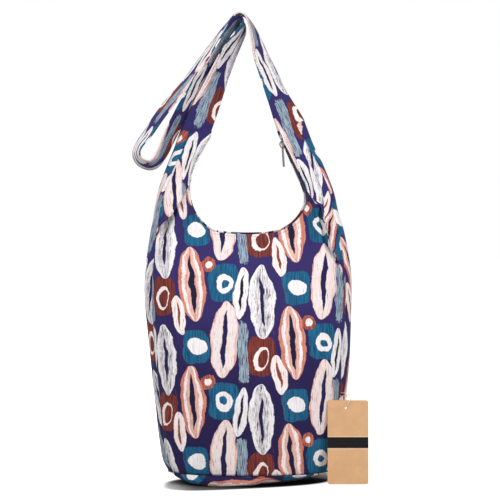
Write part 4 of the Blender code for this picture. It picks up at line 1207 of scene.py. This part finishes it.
def bowl_piece(name, grid, finish, thickness, uv):
    """A closed bowl from rings, with its last ring drawn together at the middle."""
    rows, columns = grid.shape[:2]
    points, uv = (np.vstack([a.reshape(-1, a.shape[-1]), a[-1].mean(axis=0)]) for a in (grid, uv))
    last = (rows - 1) * columns + np.arange(columns)
    fan = np.stack([np.full(columns, rows * columns), np.roll(last, -1), last], axis=-1)
    faces = grid_quads(rows, columns, around=True)[:, ::-1].tolist() + fan.tolist()
    return thicken(mesh_from(name, points, faces, finish, uv), thickness)


def base_rings():
    """Rings of the canvas base, with a soft bulge over the rim and the seam's edge drawn in, and their UVs:
    the way out from the middle times the length run along the cloth, over the length seen from above."""
    parts = spaced([1, 0.9, BASE_FLAT, 0.06], [16, 20, 8])
    rings = base_points(parts, BASE_SPOKES)
    turn = np.linspace(0, 2 * math.pi, BASE_SPOKES, endpoint=False)[None]
    rim = smooth_step((rings[..., 2] - 1.5 * MM) / (6 * MM)) * smooth_step((1 - parts) * 90)[:, None]
    bulge = (0.7 * MM * ripple(turn * 9, parts[:, None] * 30, 5) + 0.5 * MM) * rim
    rings = rings + bulge[..., None] * unit(rings * np.array([1, 1, 0]) + np.array([1e-6, 0, 0]))
    drawn = ridge(np.arange(len(parts)), 1.5)[:, None]
    rings[..., 2] -= SEAM_DRAW * drawn
    rings[..., :2] *= (1 - 0.012 * drawn)[..., None]
    spoke = rings[..., :2] - rings[-1].mean(axis=0)[:2]
    reach = np.linalg.norm(spoke, axis=-1)
    run = run_lengths(rings[::-1])[::-1] + reach[-1:]
    return rings, spoke * (run / reach)[..., None]


rings, base_uv = base_rings()
dress(bowl_piece("base_canvas", rings, BASE_CANVAS, CANVAS, base_uv), "base_panel")
print("Rings and spokes of the base:", rings.shape[:2])


# %% [markdown]
# ## Closed tubes and stitches
#
# The strap, the zip's wires and the thread are all profiles carried along a path. A ring of points is set
# square to the path at each station, and the rings are joined and capped. A stitch is so small that five
# sides are enough: one capsule is worked out, and copies of it are placed along the seam as whole arrays.

# %% Sweeps
def tube(name, rings, finish, uv=None):
    """A closed solid from rings of points, capped at both ends, with its faces turned outwards."""
    rows, columns = rings.shape[:2]
    faces = grid_quads(rows, columns, around=True).tolist()
    faces += [list(range(columns))[::-1], list(range((rows - 1) * columns, rows * columns))]
    centre = rings.mean(axis=1, keepdims=True)
    way = np.gradient(centre[:, 0], axis=0)
    turn = np.cross(rings[:, 0] - centre[:, 0], rings[:, 1] - centre[:, 0])
    if np.sum(turn * way) < 0:
        faces = [f[::-1] for f in faces]
    return mesh_from(name, rings.reshape(-1, 3), faces, finish, None if uv is None else uv.reshape(-1, 2))


def stitch_row(path, normals, pitch, length, radius):
    """Corners and faces of capsules laid end to end along a path, sunk a little into the cloth. Each is four
    rings of five points round the line between its two ends."""
    s = run_lengths(path)
    count = max(int(s[-1] / pitch), 1)
    middle = (np.arange(count) + 0.5) * s[-1] / count
    start, end = (sample(path, middle + d) for d in (-length / 2, length / 2))
    up = unit(between(middle, s, normals))
    side = np.cross(unit(end - start), up)
    along = np.array([0, 0.18, 0.82, 1.0])
    wide = np.array([0.45, 1, 1, 0.45]) * radius
    sink = np.array([0.5, -0.1, -0.1, 0.5]) * radius
    turn = np.linspace(0, 2 * math.pi, 5, endpoint=False)[:, None, None]
    ring = (np.cos(turn) * side + np.sin(turn) * up).transpose(1, 0, 2)
    centre = start[:, None] + along[None, :, None] * (end - start)[:, None]
    points = centre[:, :, None] + wide[None, :, None, None] * ring[:, None]
    points = points - sink[None, :, None, None] * up[:, None, None]
    first = np.arange(count) * 20
    faces = (grid_quads(4, 5, around=True)[None] + first[:, None, None]).reshape(-1, 4).tolist()
    caps = [[4, 3, 2, 1, 0], [15, 16, 17, 18, 19]]
    faces += [[v + int(k) for v in cap] for k in first for cap in caps]
    return points.reshape(-1, 3), faces


def stitches(name, rows, pitch=3.0 * MM, length=2.3 * MM, radius=0.28 * MM):
    """One object that holds every stitch of a seam. Each row is a path and the cloth's normals along it."""
    points, faces, start = [], [], 0
    for path, normals in rows:
        made_points, made_faces = stitch_row(path, normals, pitch, length, radius)
        points.append(made_points)
        faces += [[v + start for v in f] for f in made_faces]
        start += len(made_points)
    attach(mesh_from(name, np.vstack(points), faces, THREAD), "bag")
    print("Corners in", name + ":", start)


# %% [markdown]
# ## Strap
#
# The strap is a folded band of the print, padded a little and stitched near both edges. Each face is a grid
# of places across it and lengths along it, and the two faces meet at thin rounded edges.

# %% Strap form
def strap_form(across, s):
    """Half thickness of the band at a place across it: (1 - place^9)^p, so full in the middle, less a narrow
    ridge along the stitch lines. Near its ends it takes the thickness and squareness of the arms."""
    end = 1 - smooth_step(np.minimum(s, STRAP_TOTAL - s) / BLEND)
    half = STRAP_THICKNESS / 2 + end * (ARM_HALF_TOP - 0.1 * MM - STRAP_THICKNESS / 2)
    place = np.abs(across) / (STRAP_WIDTH / 2)
    pillow = np.maximum(0, 1 - place**9) ** (0.5 - 0.38 * end)
    groove = ridge(np.abs(across) - (STRAP_WIDTH / 2 - GROOVE), 0.7 * MM) * (1 - end)
    crown = 0.9 + 0.16 * (1 - place**2)
    return half * (crown + end * (1 - crown)) * np.maximum(pillow, 0.08) - GROOVE_DEPTH * groove


def strap_section():
    """Places across one face of the band, closer together at the edges and the grooves, edge to edge."""
    w = STRAP_WIDTH / 2 / MM
    half = np.array([0, 3, 6, 9, 11.5, 13.4, 14.2, 14.7, 15.1, 15.6, 16.2, 16.9, 17.4, 17.75, 17.95, w])
    return np.concatenate([-half[::-1], half[1:]]) * MM


def strap_points(across, s, side):
    """Points of one face: middle + across * width + half thickness * face, with soft unevenness. Near its
    ends the band widens on the outside by the arm's fold and on the inside by its ease."""
    middle, wide, face = (between(s, STATIONS, a)[:, None] for a in (STRAP_MIDDLE, STRAP_WIDE, STRAP_FACE))
    across, s = np.broadcast_to(across, (len(s), np.shape(across)[-1])), s[:, None]
    far = smooth_step(np.minimum(s, STRAP_TOTAL - s) / BLEND)
    wave = 0.35 * MM * ripple(s / (11 * MM), across / (9 * MM), 51) * far
    bow = 0.5 * MM * ripple(s / (26 * MM), 0 * across, 53, 5) * far
    first_half = s < STRAP_TOTAL / 2
    outer = np.where(first_half, across, -across) > 0
    ease = np.where(first_half, ARM_SIDE_EASE["right"], ARM_SIDE_EASE["left"])
    grow = 1 + (1 - far) * np.where(outer, ARM_FOLD, ease) / (STRAP_WIDTH / 2)
    thick = strap_form(across, s)
    lift = side * thick + wave * (thick > 0.5 * MM)
    return middle + (across * grow + bow)[..., None] * wide + lift[..., None] * face


section = strap_section()
front_face, back_face = (strap_points(section, STATIONS, side) for side in (1, -1))
rings = np.concatenate([front_face, back_face[:, ::-1][:, 1:-1]], axis=1)
across = np.concatenate([section, section[::-1][1:-1]])
uv = np.stack(np.broadcast_arrays(across[None], -STATIONS[:, None]), axis=-1)
for row, way, at in ((0, -STRAP_COURSE[0], 0), (-1, STRAP_COURSE[-1], len(rings) + 1)):
    tongue = rings[row] + 4 * MM * way + 0.4 * (STRAP_MIDDLE[row] - rings[row])
    rings = np.insert(rings, at, tongue, axis=0)
    uv = np.insert(uv, at, uv[row], axis=0)
dress(tube("strap_band", rings, STRAP_CANVAS, uv), "strap")

seams = []
inside = STATIONS[(STATIONS > 0.8 * BLEND) & (STATIONS < STRAP_TOTAL - 0.8 * BLEND)]
for edge in (-1, 1):
    for side in (-1, 1):
        line = strap_points(np.array([edge * (STRAP_WIDTH / 2 - GROOVE)]), inside, side)[:, 0]
        seams.append((line, side * between(inside, STATIONS, STRAP_FACE)))
stitches("strap_stitching", seams, pitch=3.6 * MM, length=2.8 * MM)


# %% [markdown]
# ## Zip
#
# The zip's tapes lie level beside the teeth and then turn down between canvas and lining. The teeth of a
# nylon coil zip are one wire wound round and round, so each side is a helix: round a centre beside the zip's
# middle line, wide across and low in height. The slider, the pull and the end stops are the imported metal.

# %% Tapes
COIL_HALF_GAP = 0.65 * MM
COIL_WIDTH = 1.8 * MM
TAPE = 0.5 * MM
ZIP_END = ARM_NECK
TAPE_LEGS = (2.4 * MM, 3.6 * MM, 5 * MM)
TAPE_STATIONS = 260


def under_mouth(lengths, depth, side):
    """Points of a panel's outer face some way below its mouth edge, along the arms and the body."""
    found = np.zeros((len(lengths), 3))
    on_arm = {"left": lengths < CROTCH_LEFT, "right": lengths > CROTCH_RIGHT}
    for arm, chosen in on_arm.items():
        place = np.full((chosen.sum(), 1), 0.02 + depth / (60 * MM))
        down = from_top(arm, lengths[chosen]) / ARM_LENGTH[arm]
        found[chosen] = arm_surface(arm, down, place, side)[:, 0]
    panel = "front" if side < 0 else "back"
    first = ARM_COLUMNS[panel] - 1
    row = body_surface(panel, [1 - depth / BODY_HEIGHT])[0, first:first + MIDDLE + 2]
    chosen = ~(on_arm["left"] | on_arm["right"])
    share = (lengths[chosen] - CROTCH_LEFT) / (CROTCH_RIGHT - CROTCH_LEFT) * (MIDDLE + 1)
    found[chosen] = between(share, np.arange(MIDDLE + 2), row)
    return found


def tape_grid(side):
    """Five lines of points made round by a smooth curve: coil edge, bend, and three down the leg."""
    lengths = np.linspace(ZIP_END, MOUTH_LENGTH - ZIP_END, TAPE_STATIONS)
    point, _, across, _ = mouth_frame(lengths)
    bend = SLOT_HALF - CANVAS - 2 * GAP - TAPE / 2
    level = [point + side * a * across for a in (COIL_HALF_GAP + COIL_WIDTH - 0.5 * MM, bend - 1 * MM)]
    legs = np.stack([under_mouth(lengths, d, side) for d in TAPE_LEGS])
    legs = legs - (CANVAS + GAP + TAPE / 2 + 0.9 * MM) * normals_of(legs, side)
    lines = np.stack(level + [smoothed(leg, 7) for leg in legs])
    return smooth_curve(lines.reshape(5, -1), 5).reshape(-1, len(lengths), 3)


for word, side in SIDE.items():
    name, grid = "zip_tape_cloth_" + word, tape_grid(side)
    piece = cloth_piece(name, [grid], TAPE_CLOTH, TAPE, inwards=False, flip=side > 0)
    dress(piece, "zip_tape_" + word)
print("Lines and stations of a tape:", grid.shape[:2])


# %% Coils
# One turn along the zip, the coil's tip and height, its distance from the mouth's ends, and its wire
COIL_PITCH = 1.35 * MM
COIL_TIP = 0.42 * MM
COIL_HIGH = 0.8 * MM
COIL_END = ZIP_END + 2.1 * MM
WIRE = 0.28 * MM
TURNS = int((MOUTH_LENGTH - 2 * COIL_END) / COIL_PITCH)


def coil_rings(side):
    """Helix round a line beside the zip's middle: across = middle + a cos(t), out = b sin(t)."""
    t = np.linspace(0, 2 * math.pi * TURNS, TURNS * 9)
    lengths = COIL_END + (MOUTH_LENGTH - 2 * COIL_END) * t / t[-1]
    point, along, across, out = mouth_frame(lengths)
    root = COIL_HALF_GAP + COIL_WIDTH
    a, b, middle = (root - COIL_TIP) / 2 - WIRE, COIL_HIGH - WIRE, (root + COIL_TIP) / 2
    path = point + side * (middle + a * np.cos(t))[:, None] * across + (b * np.sin(t))[:, None] * out
    way = unit(np.gradient(path, axis=0))
    up = square_to(along, way)
    ring = np.linspace(0, 2 * math.pi, 5, endpoint=False)[None, :, None]
    return path[:, None] + WIRE * (np.cos(ring) * np.cross(way, up)[:, None] + np.sin(ring) * up[:, None])


def recoat(name, finish):
    """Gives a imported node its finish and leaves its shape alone."""
    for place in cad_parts[name].material_slots:
        place.material = finish


for word, side in SIDE.items():
    dress(tube("zip_coil_wire_" + word, coil_rings(side), NYLON), "zip_coil_" + word)
for name in ("zip_slider", "zip_pull", "zip_top_stop", "zip_bottom_stop"):
    recoat(name, METAL)
print("Turns of each coil:", TURNS)


# %% [markdown]
# ## Topstitching
#
# Canvas this heavy is topstitched: one line runs close beside the mouth's edge on each panel, and one holds
# the free edge of each arm. The thread is a shade lighter than the ground, so it reads as a fine dotted line.

# %% Topstitching
rows = []
for panel, side in SIDE.items():
    count = ARM_COLUMNS[panel]
    grids = BODY[panel], normals_of(BODY[panel], side)
    rows.append([grid[BODY_ROWS - 3, count:-count] for grid in grids])
for sheet in ARMS.values():
    grids, up = (sheet, normals_of(sheet, -1)), run_lengths(sheet)
    lap = int(np.argmin(np.abs(up[:, ARM_COLUMNS["front"] // 2] - 3 * MM)))
    rows.append([grid[lap, 6:-4] for grid in grids])
    rows.append([grid[lap + 2:-6, -4] for grid in grids])
stitches("mouth_stitching", rows)


# %% [markdown]
# ## Lining and pocket
#
# The lining is a plain twill bag inside the canvas. It is the folded panel's own grid moved inwards along its
# normals, so it never shows through a fold. A slip pocket is sewn to the back lining.

# %% Lining
LINING_CLOTH = 0.6 * MM
LINING_EASE = 1.5 * MM
LINING_ROWS, LINING_COLUMNS = slice(8, -20, 2), slice(3, -3, 2)


def moved_in(grid, side, distance):
    """The grid moved inwards along its normals, after the normals' finest unevenness is averaged away."""
    normal = unit(np.stack([smoothed(n, 9) for n in normals_of(grid, side)]))
    return grid - distance * normal


for panel, side in SIDE.items():
    inner = moved_in(BODY[panel][LINING_ROWS, LINING_COLUMNS], side, CANVAS + LINING_EASE)
    piece = cloth_piece("lining_" + panel + "_twill", [inner], LINING, LINING_CLOTH, flip=side > 0)
    dress(piece, "lining_" + panel)

# %% Pocket
high = np.linspace(0, 1, BODY_ROWS)[LINING_ROWS]
wide = np.abs(np.degrees(column_angles("back"))[LINING_COLUMNS]) < 29
pocket = inner[(high > 0.4) & (high < 0.8)][:, wide]
rise = np.linspace(0, 1, len(pocket))[:, None, None]
bow = np.sin(np.linspace(0, math.pi, pocket.shape[1]))[None, :, None]
pocket = moved_in(pocket, 1, LINING_CLOTH + GAP) - 7 * MM * rise**2 * bow * np.array([0, 1, 0])
dress(cloth_piece("slip_pocket", [pocket], LINING, LINING_CLOTH, flip=True), "inner_pocket")
print("Pocket from seam to seam in mm:", round(float(np.ptp(pocket[..., 0])) / MM, 1))

# %% Base of the lining
rings = base_points(spaced([1, BASE_FLAT, 0.06], [24, 6]), 120, CANVAS + LINING_EASE, CANVAS + GAP)
piece = bowl_piece("lining_base_twill", rings, LINING, LINING_CLOTH, rings[..., :2])
dress(piece, "lining_base")
print("Rings and spokes of the lining's base:", rings.shape[:2])


# %% [markdown]
# ## Swing tag
#
# The tag is stiff kraft board with rounded corners and a punched hole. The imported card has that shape, so it
# keeps its node and takes the board's finish, in which the dark band lies. The card hangs on a loop of thread
# that is caught in the side seam. The loop is one line of points through the hole and back.

# %% Tag card and thread
recoat("tag_card", KRAFT)
STRING_ENDS = [115.5 * MM, 111.5 * MM]
STRING_ROUTE = [
    (119.6, -32.6, 115.6), (121.6, -37.5, 112.5), (121.2, -41.2, 106.0), (119.8, -43.8, 101.2),
    (119.4, -46.4, 99.0), (119.9, -49.2, 99.9), (122.2, -50.6, 103.8), (125.0, -49.9, 108.8),
    (126.6, -46.5, 113.0), (125.0, -41.0, 114.8), (121.6, -34.5, 113.0),
]


def seam_ends(height):
    """A point just off the right side seam at a height, and one 2 mm further out, square to the panel."""
    part = (height - BASE_SEAM_HEIGHT) / BODY_HEIGHT
    low, high = body_surface("front", [part, part + 1 / 15])
    normal = unit(np.cross(low[-1] - low[-2], high[-1] - low[-1]))
    return [low[-1] + d * normal for d in (GAP, GAP + 2 * MM)]


first, last = (seam_ends(h) for h in STRING_ENDS)
route = smooth_curve(first + [np.array(p) * MM for p in STRING_ROUTE] + last[::-1], 8)
points = sample(route, np.linspace(0, run_lengths(route)[-1], 34))
curve = bpy.data.curves.new("tag_loop", "CURVE")
curve.dimensions = "3D"
curve.bevel_depth = 0.5 * MM
curve.bevel_resolution = 3
curve.use_fill_caps = True
spline = curve.splines.new("POLY")
spline.points.add(len(points) - 1)
spline.points.foreach_set("co", np.column_stack([points, np.ones(len(points))]).ravel())
tag_loop = put_in_scene("tag_loop", curve)
curve.materials.append(STRING_COTTON)
dress(tag_loop, "tag_string")

# %% [markdown]
# ## Floor, light and camera
#
# The floor and the world look white to the camera and to gloss, while the cloth is lit by a plain even level.
# The floor is a diffuse surface that takes real shadow, and inside a leaning oval round the base its colour is
# also a painted shadow that darkens where the bag is near; outside the oval it is plain white. Three softboxes
# model the bag, and a weak one behind keeps its back from going dull.
# The camera stands level, two metres away, as the photograph was taken.

# %% Floor
SHADOW_REACH = (109 * MM, 63 * MM)
SHADOW_LEAN = 0.33
WHITE = (1, 1, 1, 1)


def background_rays(recipe):
    """One for the rays that show the background: those of the camera, of gloss and of glass."""
    rays = recipe.node("LightPath").outputs
    camera, gloss, glass = (rays["Is " + kind + " Ray"] for kind in ("Camera", "Glossy", "Transmission"))
    return recipe.calc("MINIMUM", recipe.add(recipe.add(camera, gloss), glass), 1.0)


def floor_finish():
    """Pure white for the camera outside a leaning oval round the base, |x/a|^3 + |(y - lean x)/b|^3 = 1.
    Inside it a diffuse surface with its real shading, whose colour is also a painted shadow: dark where the
    bag is near, and less so at its left end."""
    made = bpy.data.materials.new("studio floor")
    made.use_nodes = True
    made.node_tree.nodes.clear()
    r = Recipe(made.node_tree)
    x, y = r.split(r.here())[:2]
    across = r.div(r.size(x), SHADOW_REACH[0])
    deep = r.div(r.size(r.sub(y, r.mul(x, SHADOW_LEAN))), SHADOW_REACH[1])
    outside = r.fade(r.add(r.power(across, 3.0), r.power(deep, 3.0)), 0.8, 1.2)
    # Painted shadow: the floor's colour darkens where ambient occlusion finds the bag near, and less at the
    # left end.
    near = r.node("AmbientOcclusion", {"Distance": 0.1}, samples=12).outputs["AO"]
    inner = r.fade(x, -105 * MM, -66 * MM)
    deepest = r.mix(inner, (0.14, 0.135, 0.135, 1), (0.02, 0.019, 0.019, 1))
    lightest = r.mix(inner, (0.8, 0.8, 0.8, 1), (0.27, 0.26, 0.26, 1))
    painted_shadow = r.mix(r.fade(near, 0.3, 0.98), deepest, lightest)
    seen = r.mix(r.node("LightPath").outputs["Is Camera Ray"], (0.35, 0.35, 0.35, 1), painted_shadow)
    lit = r.node("BsdfDiffuse", {"Color": seen}).outputs[0]
    strength = r.mul(background_rays(r), outside)
    white = r.node("Emission", {"Color": WHITE, "Strength": strength}).outputs[0]
    r.node("OutputMaterial", {"Surface": r.node("AddShader", {0: lit, 1: white}).outputs[0]})
    return made


corners = [[-20, -4, 0], [20, -4, 0], [20, 36, 0], [-20, 36, 0]]
mesh_from("studio_floor", corners, [[0, 1, 2, 3]], floor_finish())

# %% World and lamps
WORLD_LEVEL = 0.58
world = bpy.data.worlds.new("studio")
bpy.context.scene.world = world
world.use_nodes = True
world.node_tree.nodes.clear()
sky = Recipe(world.node_tree)
even, white = (sky.node("Background", {"Color": WHITE, "Strength": s}).outputs[0] for s in (WORLD_LEVEL, 1.0))
both = sky.node("MixShader", {0: background_rays(sky), 1: even, 2: white}).outputs[0]
sky.node("OutputWorld", {"Surface": both})

SOFTBOXES = {
    "key": ((-0.8, -1.7, 1.3), (0, 0, 0.24), 1.1, 25.0),
    "fill": ((1.5, -1.6, 0.6), (0, 0, 0.22), 1.4, 20.0),
    "top": ((0.1, 0.5, 2.1), (0, 0, 0.3), 1.2, 11.0),
    "back": ((0.2, 1.9, 0.8), (0, 0, 0.25), 1.3, 20.0),
}


def softbox(name, place, aim, size, power):
    """A square area lamp that faces a point. At d metres it gives about power / (pi d^2) on its axis."""
    lamp = bpy.data.lights.new(name, "AREA")
    lamp.size, lamp.energy = size, power
    way = unit(np.array(aim, float) - np.array(place, float))
    right = unit(np.cross(way, [0, 0, 1]))
    up = np.cross(right, way)
    turned = [[right[k], up[k], -way[k], place[k]] for k in range(3)] + [[0, 0, 0, 1]]
    put_in_scene(name, lamp).matrix_world = Matrix(turned)


for name, settings in SOFTBOXES.items():
    softbox(name, *settings)
print("Softboxes:", len(SOFTBOXES))

# %% Camera
CAMERA_DISTANCE, CAMERA_HEIGHT = 2.0, 0.2958
VIEW_HALF_WIDTH = 0.32  # of the plane through the bag's middle that the picture shows
camera_data = bpy.data.cameras.new("camera")
camera_data.angle = 2 * math.atan(VIEW_HALF_WIDTH / CAMERA_DISTANCE)
camera = put_in_scene("camera", camera_data)
camera.location = (0, -CAMERA_DISTANCE, CAMERA_HEIGHT)
camera.rotation_euler = (math.radians(90), 0, 0)
bpy.context.scene.camera = camera
bpy.context.scene.view_settings.view_transform = "Standard"
print("The camera's angle in degrees:", round(math.degrees(camera_data.angle), 1))
